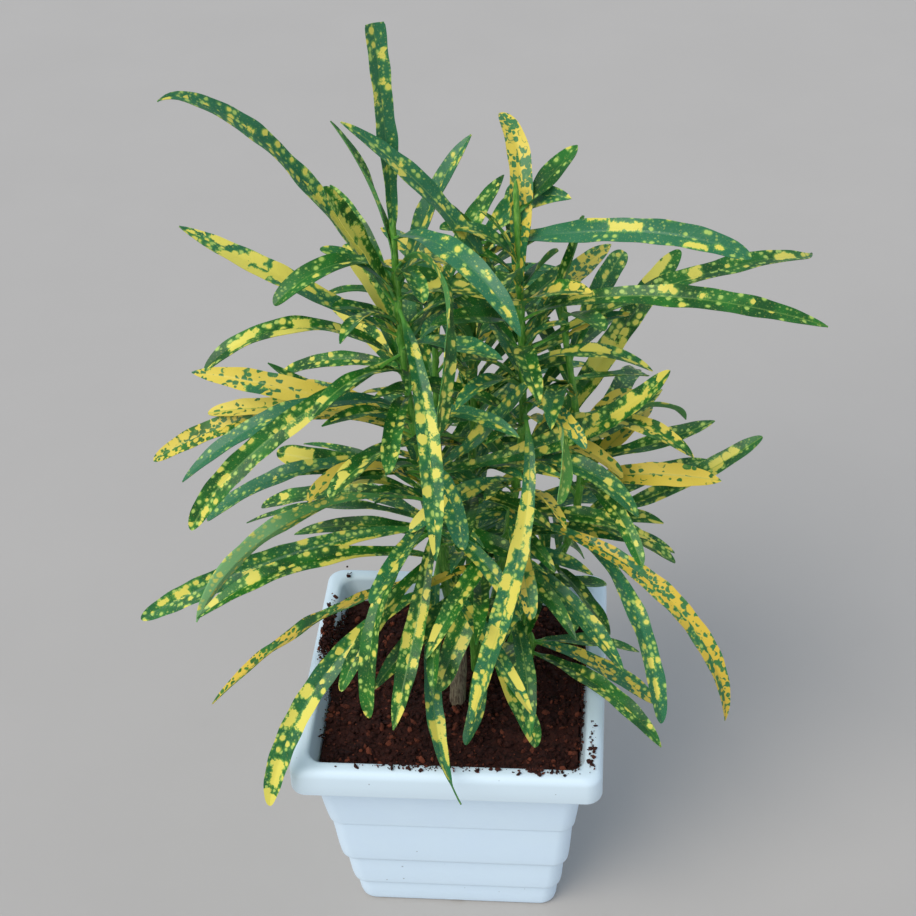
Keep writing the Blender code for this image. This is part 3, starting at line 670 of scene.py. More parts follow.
class Cells(NamedTuple):
    """A net of cells over a blade, with one spot at most in each."""

    across: float  # cells to a centimetre
    along: float
    jump_across: float  # how far the net lies apart, in cells, from one leaf to another
    jump_along: float
    size: float  # radius of the largest spot, in cells
    soft: float  # width of its edge, in cells
    squareness: float  # 2 for round spots, more for square ones
    wavy: bool = True  # whether the net waves across the blade as well


@dataclass(frozen=True)
class LeafFinish:
    """Glossy green leaf with yellow patches that stop at the midrib, squarish spots and fine dots."""

    deep: Colour = screen_colour("155014")
    green: Colour = screen_colour("26701E")
    # painted reflection: the bluish teal that stands in for the sky's sheen on lit leaves
    teal_sheen: Colour = screen_colour("2D7249")
    fresh: Colour = screen_colour("5FA03A")
    halo: Colour = screen_colour("84B844")
    gold: Colour = screen_colour("DEBC3E")
    lemon: Colour = screen_colour("E8DE62")
    dot: Colour = screen_colour("BCD466")
    rib: Colour = screen_colour("8DB052")
    under: Colour = screen_colour("4E8C46")
    pale: Colour = screen_colour("86B878")

    patch_cells: Cells = Cells(1.6, 1.15, 97.0, 53.0, 0.74, 0.08, 3.2)
    square_cells: Cells = Cells(2.2, 1.9, 41.0, 71.0, 0.42, 0.11, 2.4)
    spot_cells: Cells = Cells(3.3, 2.9, 61.0, 43.0, 0.36, 0.17, 2.1)
    dot_cells: Cells = Cells(4.7, 3.9, 31.0, 19.0, 0.34, 0.24, 2.0, wavy=False)
    speck_cells: Cells = Cells(8.6, 7.3, 83.0, 29.0, 0.34, 0.34, 2.0, wavy=False)
    chip_cells: Cells = Cells(4.9, 4.1, 23.0, 37.0, 0.58, 0.14, 2.4)
    scatter: float = 0.92
    full_grown: float = 0.35
    ring_reach: float = 2.2

    def spots(self, s: Shader, cells: Cells, place: tuple[Wire, ...], share: Wire) -> tuple[Wire, Wire]:
        """Spots of random size, one to a cell.

        Args:
            s: the material.
            cells: the net that they lie in.
            place: the place across the blade and along it in centimetres, the leaf's own number and the
                wave of the net.
            share: how many cells hold a spot. A part of those spots, full_grown, reach the full size.

        Returns:
            The mask of the spots, and a wider mask of the paler ring about them.
        """
        x, y, seed, sway = place
        x = x * cells.across + seed * cells.jump_across
        y = y * cells.along + seed * cells.jump_along + sway
        distance = s.node(
            "TexVoronoi",
            {"voronoi_dimensions": "2D", "distance": "MINKOWSKI"},
            {
                "Vector": s.vector(x + sway if cells.wavy else x, y),
                "Scale": 1.0,
                "Exponent": cells.squareness,
                "Randomness": self.scatter,
            },
            out="Distance",
        )
        draw = s.node("SeparateColor", {}, {0: distance.out("Color")})
        radius = s.edge(draw, 1.0 - share, 1.0 - self.full_grown * share) * cells.size
        inner = radius - 0.5 * cells.soft
        spot = s.edge(distance, radius + 0.5 * cells.soft, inner)
        reach = radius + self.ring_reach * cells.soft
        ring = s.edge(distance, reach, inner) * s.edge(radius, 0.0, cells.soft)
        return spot, ring

    def build(self) -> bpy.types.Material:
        """Wires up the material.

        Returns:
            The material.
        """
        s = Shader("croton_leaf")
        across, along, seed = s.attribute("flat")
        spread, share, face = s.attribute("place")
        gold, squares, spots = s.attribute("marks")
        young, sky_sheen, midrib = s.attribute("tone")
        inside, chips, dots = s.attribute("more")
        ripe, _, _ = s.attribute("age")
        flat = s.vector(across, along, seed * 60.0)
        cloud = s.noise(flat, 4.5, 2.0, 0.6)
        jag = s.noise(flat, 15.0, 2.0, 0.6)
        drift = s.noise(flat, 0.8, 1.0)
        side = s.maths("SIGN", across) * 9.0
        out = s.maths("ABSOLUTE", across)
        margin = s.edge(s.maths("ABSOLUTE", spread), 0.35, 0.9)
        sway = (cloud - 0.5) * 0.3 + (jag - 0.5) * 0.16
        crowd = (drift - 0.5) * 1.8
        place = (out + side, along, seed, sway)

        patch, _ = self.spots(s, self.patch_cells, place, gold)
        square, square_ring = self.spots(s, self.square_cells, place, squares * (1 + crowd))
        spot, spot_ring = self.spots(s, self.spot_cells, place, spots * (1 - crowd))
        fine = dots * (0.75 + crowd) + margin * 0.14
        dot, dot_ring = self.spots(s, self.dot_cells, place, fine * 0.9)
        speck, _ = self.spots(s, self.speck_cells, place, fine * 0.45)
        chip, _ = self.spots(s, self.chip_cells, place, chips * (1.4 - drift))
        depth = inside + (cloud - 0.5) * 2.6 + (jag - 0.5) * 1.7
        block = s.edge(depth, -0.2, 0.2)
        block_ring = s.edge(depth, -1.0, 0.0)
        broad = s.maths("MAXIMUM", patch, block) * (1 - chip)
        yellow = s.maths("MAXIMUM", s.maths("MAXIMUM", broad, square), spot * 0.92)
        small = s.maths("MAXIMUM", dot, speck * 0.6) * (1 - 0.8 * chip)
        ring = s.maths("MAXIMUM", s.maths("MAXIMUM", square_ring, spot_ring), block_ring)
        ring = s.maths("MAXIMUM", ring, dot_ring * 0.5) * (1 - 0.8 * chip)

        green = s.mix(s.edge(drift + cloud * 0.15, 0.40, 0.74), self.deep, self.green)
        # painted sheen: each leaf turns teal by its share of sky sheen, in place of the sky's reflection
        green = s.mix(s.edge(sky_sheen + (cloud - 0.5) * 0.6, 0.3, 1.1), green, self.teal_sheen)
        green = s.mix(young, green, self.fresh)
        green = s.mix(ring * 0.55, green, self.halo)
        golden = s.mix(ripe, self.lemon, self.gold)
        colour = s.mix(small * 0.8, green, self.dot)
        colour = s.mix(yellow, colour, golden)
        colour = s.mix(s.edge(out, 0.04, 0.012) * midrib, colour, self.rib)
        colour = s.mix(s.edge(share, 0.14, 0.05), colour, self.fresh)
        pale = s.mix(young, self.under, self.pale)
        pale = s.mix(yellow * 0.75 + small * 0.4, pale, golden)
        colour = s.mix(face, pale, colour)

        slant = s.maths("FRACT", along * 2.9 - out * 2.2)
        veins = s.edge(s.maths("ABSOLUTE", slant - 0.5), 0.0, 0.2)
        height = veins * 0.5 + cloud * 0.8 + s.edge(out, 0.015, 0.06)
        return s.finish(
            Base_Color=colour,
            Roughness=0.34 + 0.12 * cloud + 0.2 * (1 - face) + 0.06 * yellow,
            Specular_IOR_Level=0.38,
            Normal=s.bump(height, 0.22, 0.0002),
        )


@dataclass(frozen=True)
class StemFinish:
    """Fresh green stem that turns into brown-grey bark towards its foot."""

    green: Colour = screen_colour("508F30")
    light: Colour = screen_colour("86B850")
    bark: Colour = screen_colour("94866A")
    crack: Colour = screen_colour("5E4C3C")

    def build(self) -> bpy.types.Material:
        """Wires up the material.

        Returns:
            The material.
        """
        s = Shader("croton_stem")
        woody, _, _ = s.attribute("wood")
        place = s.node("TexCoord", {}, out="Object")
        stretched = s.node("VectorMath", {"operation": "MULTIPLY"}, {0: place, 1: (1.0, 1.0, 0.18)})
        streak = s.noise(stretched, 1500.0, 3.0, 0.6)
        cloud = s.noise(place, 160.0, 3.0, 0.6)
        green = s.mix(s.edge(streak, 0.4, 0.75), self.green, self.light)
        bark = s.mix(s.edge(streak, 0.35, 0.62), self.crack, self.bark)
        mask = s.edge(woody + (cloud - 0.5) * 0.7, 0.35, 0.6)
        return s.finish(
            Base_Color=s.mix(mask, green, bark),
            Roughness=0.42 + 0.4 * mask,
            Normal=s.bump(streak * (0.3 + mask), 0.4, 0.0004),
        )


@dataclass(frozen=True)
class SoilFinish:
    """Dark red-brown coir, paler on single crumbs."""

    dark: Colour = screen_colour("1E0C09")
    brown: Colour = screen_colour("3E1C14")
    rust: Colour = screen_colour("7A3E2A")

    def build(self) -> bpy.types.Material:
        """Wires up the material.

        Returns:
            The material.
        """
        s = Shader("coir")
        tint, _, _ = s.attribute("tint")
        place = s.node("TexCoord", {}, out="Object")
        fine = s.noise(place, 900.0, 4.0, 0.65)
        wide = s.noise(place, 110.0, 2.0)
        brown = s.mix(s.edge(fine + wide * 0.4, 0.5, 0.85), self.dark, self.brown)
        colour = s.mix(s.edge(tint + fine * 0.25, 0.8, 1.16), brown, self.rust)
        return s.finish(
            Base_Color=colour,
            Roughness=0.86,
            Specular_IOR_Level=0.25,
            Normal=s.bump(fine, 0.6, 0.0006),
        )


@dataclass(frozen=True)
class PotFinish:
    """Bluish-white moulded plastic with fine grey specks, a faint cloudy tone and painted shade on the rim.
    """

    white: Colour = screen_colour("E2F4FF")
    shade: Colour = screen_colour("DEF0FF")
    # painted shade: the rim is a little greyer than the walls below it
    rim: Colour = screen_colour("DCECF4")
    speck: Colour = screen_colour("5E5A5A")

    def build(self) -> bpy.types.Material:
        """Wires up the material.

        Returns:
            The material.
        """
        s = Shader("white_plastic")
        place = s.node("TexCoord", {}, out="Object")
        cloud = s.noise(place, 60.0, 3.0, 0.6)
        grain = s.noise(place, 2600.0, 2.0)
        cells = s.node("TexVoronoi", {}, {"Vector": place, "Scale": 260.0}, out="Distance")
        draw = s.node("SeparateColor", {}, {0: cells.out("Color")})
        radius = s.edge(draw, 0.88, 1.0) * 0.15
        specks = s.edge(cells, radius, radius * 0.5)
        height = s.node("SeparateXYZ", {}, {0: place}, out="Z")
        colour = s.mix(cloud, self.white, self.shade)
        # painted shade on the rim, from just under its foot to the top
        colour = s.mix(s.edge(height, 0.086, 0.094), colour, self.rim)
        colour = s.mix(specks * 0.5, colour, self.speck)
        return s.finish(
            Base_Color=colour,
            Roughness=0.40 + 0.14 * cloud,
            Specular_IOR_Level=0.45,
            Normal=s.bump(grain + cloud, 0.10, 0.0003),
        )


@dataclass(frozen=True)
class FloorFinish:
    """Plain pale floor."""

    pale: Colour = screen_colour("BAB3AC")
    shade: float = 0.93

    def build(self) -> bpy.types.Material:
        """Wires up the material.

        Returns:
            The material.
        """
        s = Shader("pale_floor")
        place = s.node("TexCoord", {}, out="Object")
        cloud = s.noise(place, 9.0, 4.0, 0.6)
        shade = tuple(self.shade * part for part in self.pale)
        return s.finish(Base_Color=s.mix(cloud, shade, self.pale), Roughness=0.85)


@dataclass(frozen=True)
class Leaf:
    """One leaf's place and form, as the solids have it."""

    root: float
    azimuth: float
    sway: float
    rise: float
    droop: float
    length: float
    width: float
    roll: float
    bend: float = 1.0

    def course(self, share: float) -> float:
        """The azimuth at a share of the length, in radians."""
        return math.radians(self.azimuth + self.sway * (share - 0.5))

    def heading(self, share: float) -> Vector:
        """Which way the leaf runs.

        Args:
            share: place along it, from 0 to 1.

        Returns:
            A vector of length 1.
        """
        across = self.course(share)
        up = math.radians(self.rise - self.droop * share**self.bend)
        return Vector((math.cos(up) * math.cos(across), math.cos(up) * math.sin(across), math.sin(up)))

    def line(self, start: Vector, steps: int) -> list[Vector]:
        """Points along the middle of the leaf.

        Args:
            start: where it leaves the stem.
            steps: how many steps to take.

        Returns:
            One point more than there are steps.
        """
        points = [start]
        for step in range(steps):
            share = (step + 0.5) / steps
            points.append(points[-1] + self.heading(share) * self.length / steps)
        return points

    def axes(self, share: float) -> tuple[Vector, Vector]:
        """Which way the blade faces.

        Args:
            share: place along the leaf, from 0 to 1.

        Returns:
            The directions across the blade and out of its upper face.
        """
        across = self.course(share)
        side = Vector((-math.sin(across), math.cos(across), 0))
        normal = self.heading(share).cross(side)
        turn = math.radians(self.roll) * min(share * ROLL_SPEED, 1)
        return (
            side * math.cos(turn) + normal * math.sin(turn),
            normal * math.cos(turn) - side * math.sin(turn),
        )

    def stations(self) -> list[float]:
        """Where the solid's sections stand.

        Returns:
            Shares of the length.
        """
        turning = abs(self.sway) + abs(self.droop)
        count = round(SECTIONS_FIRST + SECTIONS_PER_METRE * self.length + turning / DEGREES_PER_SECTION)
        count = min(max(count, FEWEST_SECTIONS), MOST_SECTIONS) - 3
        blade = [PETIOLE_SHARE + (TIP_SHARE - PETIOLE_SHARE) * i / count for i in range(count + 1)]
        return [0.0] + blade + [1.0]

    def rings(self, start: Vector, phase: float) -> list[list[Vector]]:
        """The solid's sections, with the room that is kept clear round them.

        Args:
            start: where the leaf leaves the stem.
            phase: the phase of its wave.

        Returns:
            Rings of six points.
        """
        line = self.line(start, LINE_STEPS)
        rings = []
        for share in self.stations():
            middle = point_along(line, share)
            side, normal = self.axes(share)
            blade = blade_share(share)
            if blade < BARE_SHARE:
                half, thick, wave = PETIOLE_HALF, PETIOLE_HALF * STALK_THICKNESS, 0.0
            else:
                half = max(self.width / 2 * blade_width(blade), LEAST_HALF)
                thick = BLADE_THICKNESS
                wave = wave_height(blade)
            half += CLEAR_WIDTH
            thick += CLEAR_THICKNESS
            ring = []
            for face in (1, -1):
                for edge in (-1, 0, 1):
                    angle = wave_angle(share * self.length, phase, edge)
                    lift = abs(edge) * (half * math.sin(FOLD) + wave * math.sin(angle))
                    ring.append(
                        middle + side * edge * half * math.cos(FOLD) + normal * (lift + face * thick / 2)
                    )
            rings.append(ring)
        return rings


def point_along(line: Sequence[Vector], share: float) -> Vector:
    """Finds a place on a line of even steps.

    Args:
        line: its points.
        share: the place, from 0 to 1.

    Returns:
        The point there.
    """
    place = share * (len(line) - 1)
    step = min(int(place), len(line) - 2)
    return line[step].lerp(line[step + 1], place - step)


def blade_share(share: float) -> float:
    """The place along the blade, from 0 to 1, at a share of the whole leaf with its stalk."""
    return max(share - PETIOLE_SHARE, 0) / (1 - PETIOLE_SHARE)


def strap_width(share: float) -> float:
    """Half-width along a strap that starts narrow at the stalk, as a share of the widest."""
    grow = min(share / WIDEST_AT, 1)
    return STALK_WIDTH + GAINED_WIDTH * (3 * grow**2 - 2 * grow**3)


def narrowed(share: float, start: float, reach: float, power: float, root: float) -> float:
    """What a blade keeps of its width as it narrows from a start over a reach, later with a higher power."""
    past = max(share - start, 0) / reach
    return max(1 - past**power, 0) ** root


def blade_width(share: float) -> float:
    """Half-width along a blade with a blunt tip, as a share of the widest."""
    past = max(share - NARROWS_AT, 0) / NARROWS_OVER
    return strap_width(share) * math.sqrt(max(1 - past**NARROWS_POWER, 0))


def wave_height(blade: float) -> float:
    """How high the edges wave at a place along the blade, from 0 to 1."""
    return WAVE_HEIGHT * math.sin(math.pi * min(blade * WAVE_FADE, 1))


def wave_angle(distance: float, phase: float, edge: float) -> float:
    """Where in its wave an edge is, at a distance along the leaf."""
    return 2 * math.pi * distance / WAVE_LENGTH + phase + (WAVE_OFFSET if edge > 0 else 0.0)


def ramp(value: float, start: float, reach: float) -> float:
    """Goes from 0 to 1 as a value goes on from a start over a reach, and keeps to those ends."""
    return min(max((value - start) / reach, 0), 1)


def as_array(points: Sequence[Vector]) -> np.ndarray:
    """Points as rows of an array."""
    return np.array([tuple(point) for point in points])


def shell_faces(rings: Sequence[Sequence[Vector]]) -> tuple[list[Vector], Faces]:
    """The solid leaf through its sections.

    Args:
        rings: sections of six points.

    Returns:
        Its vertices and its triangles.
    """
    verts = [point for ring in rings for point in ring]
    faces: Faces = []
    for ring in range(len(rings) - 1):
        a, b = ring * 6, ring * 6 + 6
        for i, j in ((0, 1), (1, 2)):
            faces += [(a + i, a + j, b + j), (a + i, b + j, b + i)]
            faces += [(a + 3 + i, b + 3 + j, a + 3 + j), (a + 3 + i, b + 3 + i, b + 3 + j)]
        faces += [(a, b, b + 3), (a, b + 3, a + 3)]
        faces += [(a + 2, b + 5, b + 2), (a + 2, a + 5, b + 5)]
    end = (len(rings) - 1) * 6
    faces += [(0, 3, 4), (0, 4, 1), (1, 4, 5), (1, 5, 2)]
    faces += [(end, end + 4, end + 3), (end, end + 1, end + 4)]
    faces += [(end + 1, end + 5, end + 4), (end + 1, end + 2, end + 5)]
    return verts, faces


def loop_faces(rings: int, count: int) -> Faces:
    """Joins loops of points in turn and closes both ends.

    Args:
        rings: how many loops there are.
        count: how many points each has.

    Returns:
        Loops of places in the list of points.
    """
    faces: Faces = []
    for ring in range(rings - 1):
        for i in range(count):
            a, b = ring * count + i, ring * count + (i + 1) % count
            faces.append((a, b, b + count, a + count))
    faces.append(tuple(reversed(range(count))))
    faces.append(tuple(range((rings - 1) * count, rings * count)))
    return faces


def skin(loops: Sequence[Sequence[Vector]]) -> tuple[list[Vector], Faces]:
    """Vertices and faces that join loops of like length, closed at both ends."""
    return [point for loop in loops for point in loop], loop_faces(len(loops), len(loops[0]))


@dataclass(frozen=True)
class StemLine:
    """The middle and the radius of one stem, as the solids have them."""

    key: str

    @property
    def top(self) -> float:
        """The height of the tip."""
        return STEM_LINES[self.key][-1][2]

    def point(self, height: float) -> Vector:
        """The middle of the stem: a smooth line through its places, upright at the soil.

        Args:
            height: the height above the ground.

        Returns:
            The middle there.
        """
        places = np.array(STEM_LINES[self.key])
        heights = places[:, 2]
        last = len(places) - 1
        slopes = np.array([
            (places[min(i + 1, last)] - places[max(i - 1, 0)])
            / (heights[min(i + 1, last)] - heights[max(i - 1, 0)])
            for i in range(last + 1)
        ])
        slopes[0] = (0, 0, 1)
        if height <= heights[0]:
            return Vector((places[0][0], places[0][1], height))
        height = min(height, heights[-1])
        i = min(int(np.searchsorted(heights, height, side="right")) - 1, last - 1)
        span = heights[i + 1] - heights[i]
        t = (height - heights[i]) / span
        point = (
            (2 * t**3 - 3 * t**2 + 1) * places[i]
            + (t**3 - 2 * t**2 + t) * span * slopes[i]
            + (-2 * t**3 + 3 * t**2) * places[i + 1]
            + (t**3 - t**2) * span * slopes[i + 1]
        )
        return Vector((point[0], point[1], height))

    def radius(self, height: float) -> float:
        """The stem's radius.

        Args:
            height: the height above the ground.

        Returns:
            The radius there.
        """
        low, high = STEM_RADII[self.key]
        share = ramp(height, SOIL_LEVEL, self.top - SOIL_LEVEL)
        if self.key == "left":
            share = min(share / WOODY, 1) * TRUNK_TAPER + share * (1 - TRUNK_TAPER)
        return low + (high - low) * share

    def shell(self) -> tuple[list[Vector], Faces]:
        """The solid stem.

        Returns:
            Its vertices and its faces.
        """
        count = max(3, round((self.top - SOIL_LEVEL) / STEM_STEP))
        heights = [ROOT_FOOT, SOIL_LEVEL]
        heights += [SOIL_LEVEL + (self.top - SOIL_LEVEL) * (i + 1) / count for i in range(count)]
        loops = []
        for height in heights:
            middle, radius = self.point(height), self.radius(height)
            loops.append([
                middle + radius * Vector((math.cos(a), math.sin(a), 0))
                for a in (2 * math.pi * i / STEM_SIDES for i in range(STEM_SIDES))
            ])
        tip = self.point(self.top)
        loops.append([tip + (point - tip) * BUD_WIDTH + Vector((0, 0, BUD_HEIGHT)) for point in loops[-1]])
        return skin(loops)


@dataclass
class Growth:
    """A leaf in its final place, with the phase of its wave, its marking and a number that sets it apart."""

    leaf: Leaf
    phase: float
    pattern: Pattern
    number: int
    blocks: tuple[Block, ...] = ()
    tip: Tip = Tip.ROUND


class Planting:
    """Places every leaf as the solids do: the main ones as listed, the others in fans, all bent clear."""

    def __init__(self) -> None:
        """Starts with bare stems."""
        self.stems = {key: BVHTree.FromPolygons(*self.plain(StemLine(key).shell())) for key in STEM_NODES}
        self.placed: list[tuple[str, BVHTree, BVHTree]] = []

    @staticmethod
    def plain(shell: tuple[list[Vector], Faces]) -> tuple[list[tuple[float, ...]], Faces]:
        """A shell with its vertices as plain tuples."""
        verts, faces = shell
        return [tuple(v) for v in verts], faces

    @staticmethod
    def fill_list(
        key: str, rows: Sequence[tuple[float, ...]], widths: tuple[float, float], seed: int
    ) -> list[Leaf]:
        """A stem's filling leaves, row by row, each a little off its place in the fan.

        Args:
            key: the stem.
            rows: its rows, as in FILL_LEAVES.
            widths: the narrowest and the widest.
            seed: the start of the random draw.

        Returns:
            The leaves.
        """
        draw = random.Random(seed + list(STEM_NODES).index(key))
        leaves = []
        for row in rows:
            count, low, high, rise_low, rise_high, length_low, length_high, middle, fan = row
            for i in range(count):
                share = i / max(count - 1, 1)
                stray = [draw.uniform(-1, 1) for _ in range(6)]
                azimuth = middle + fan * ((0.5 + i * GOLDEN_SHARE) % 1 - 0.5) + SPREAD * stray[0]
                leaves.append(Leaf(
                    low + (high - low) * share,
                    azimuth,
                    FILL_SWAY * stray[1],
                    rise_low + (rise_high - rise_low) * share + RISE_STRAY * stray[2],
                    FILL_DROOP[0] + (FILL_DROOP[1] - FILL_DROOP[0]) * (1 + stray[3]) / 2,
                    (length_low + (length_high - length_low) * share) * (1 + LENGTH_STRAY * stray[4]),
                    widths[0] + (widths[1] - widths[0]) * (1 + stray[5]) / 2,
                    FRONT_ROLL * math.cos(math.radians(azimuth)) + ROLL_STRAY * stray[2],
                ))
        return leaves

    @staticmethod
    def over_pot(rings: Sequence[Sequence[Vector]]) -> bool:
        """Whether a leaf stays above the soil and the rim, and off the rim's outside.

        Args:
            rings: its sections.

        Returns:
            True where it does.
        """
        inner, outer, top = RIM_ZONE
        for ring, after in zip(rings[1:], rings[2:]):
            for start, end in zip(ring, after):
                for share in (0.0, 0.2, 0.4, 0.6, 0.8, 1.0):
                    point = start.lerp(end, share)
                    reach = max(abs(point.x), abs(point.y))
                    if reach < inner and point.z < SOIL_CLEAR:
                        return False
                    if inner <= reach < outer and point.z < top:
                        return False
        return True

    @staticmethod
    def nudges() -> Iterator[tuple[float, float]]:
        """Small bends to try in turn.

        Yields:
            Degrees of azimuth and of rise.
        """
        yield 0, 0
        for size in NUDGES:
            for turn in range(8):
                angle = math.radians(45 * turn)
                yield round(size * math.cos(angle), 1), round(size * math.sin(angle), 1)

    def bent_clear(self, key: str, leaf: Leaf, phase: float) -> Leaf | None:
        """Bends a leaf by as little as clears what is around it.

        Args:
            key: the stem it grows on.
            leaf: the leaf as listed.
            phase: the phase of its wave.

        Returns:
            The leaf in its final place, or None where there is no room.
        """
        root = StemLine(key).point(leaf.root)
        for turn, lift in self.nudges():
            bent = replace(leaf, azimuth=leaf.azimuth + turn, rise=leaf.rise + lift)
            rings = bent.rings(root, phase)
            if not self.over_pot(rings):
                continue
            whole = BVHTree.FromPolygons(*self.plain(shell_faces(rings)))
            blade = BVHTree.FromPolygons(*self.plain(shell_faces(rings[2:])))
            if any(whole.overlap(tree) for other, tree in self.stems.items() if other != key):
                continue
            if any((blade.overlap(b) if other == key else whole.overlap(w)) for other, w, b in self.placed):
                continue
            self.placed.append((key, whole, blade))
            return bent
        return None

    def arrange(self) -> dict[str, list[Growth]]:
        """Puts every leaf in its final place.

        Returns:
            The leaves of each stem.
        """
        found: dict[str, list[Growth]] = {key: [] for key in STEM_NODES}
        draw = random.Random(SEED)
        queue = []
        for key in STEM_NODES:
            for i, (row, letter) in enumerate(zip(MAIN_LEAVES[key], MAIN_PATTERNS[key], strict=True)):
                tip = TIPS.get((key, i), draw.choice((Tip.ROUND, Tip.POINTED)))
                queue.append((key, Leaf(*row), Pattern(letter), GOLD_BLOCKS.get((key, i), ()), tip))
        for rows, widths, seed in ((FILL_LEAVES, FILL_WIDTH, SEED), (THIN_LEAVES, THIN_WIDTH, THIN_SEED)):
            for key in STEM_NODES:
                for leaf in self.fill_list(key, rows[key], widths, seed):
                    tip = draw.choice((Tip.ROUND, Tip.POINTED, Tip.POINTED))
                    queue.append((key, leaf, Pattern(draw.choice(FILL_PATTERNS)), (), tip))
        for number, (key, leaf, pattern, blocks, tip) in enumerate(queue):
            phase = number * PHASE_STEP
            bent = self.bent_clear(key, leaf, phase)
            if bent:
                found[key].append(Growth(bent, phase, pattern, number, blocks, tip))
        return found


@dataclass
class Mesh:
    """Points, faces and per-point values of a mesh in the making."""

    points: list[np.ndarray] = field(default_factory=list)
    faces: Faces = field(default_factory=list)
    values: dict[str, list[np.ndarray]] = field(default_factory=dict)
    count: int = 0

    def add(self, points: np.ndarray, faces: Faces, **values: np.ndarray) -> None:
        """Adds one closed shell.

        Args:
            points: an array of places.
            faces: loops of places in that array.
            **values: a vector for each point, by the attribute's name.
        """
        self.faces += [tuple(i + self.count for i in face) for face in faces]
        self.points.append(points)
        self.count += len(points)
        for name, value in values.items():
            self.values.setdefault(name, []).append(value)

    def build(self, name: str, material: bpy.types.Material, sharp: float = 50.0) -> bpy.types.Object:
        """Makes the object.

        Args:
            name: the piece's name.
            material: its finish.
            sharp: the angle in degrees from which an edge stays sharp.

        Returns:
            The new object, in the scene.
        """
        mesh = bpy.data.meshes.new(name)
        mesh.from_pydata(np.concatenate(self.points).tolist(), [], self.faces)
        for key, parts in self.values.items():
            made = mesh.attributes.new(key, "FLOAT_VECTOR", "POINT")
            made.data.foreach_set("vector", np.concatenate(parts).astype(np.float32).ravel())
        mesh.materials.append(material)
        mesh.shade_smooth()
        mesh.set_sharp_from_angle(angle=math.radians(sharp))
        made_object = bpy.data.objects.new(name, mesh)
        bpy.context.scene.collection.objects.link(made_object)
        return made_object


def report(piece: bpy.types.Object, slot: str, *nodes: str) -> bpy.types.Object:
    """Ties a finished piece to the frame and logs it.

    Args:
        piece: the piece, in place.
        slot: a material slot of the record; not used.
        nodes: the solids that it stands for.

    Returns:
        The piece.
    """
    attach(piece, BODY)
    if nodes:
        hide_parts(*nodes)
    LOG.info("%s: %d faces", piece.name, len(piece.data.polygons))
    return piece


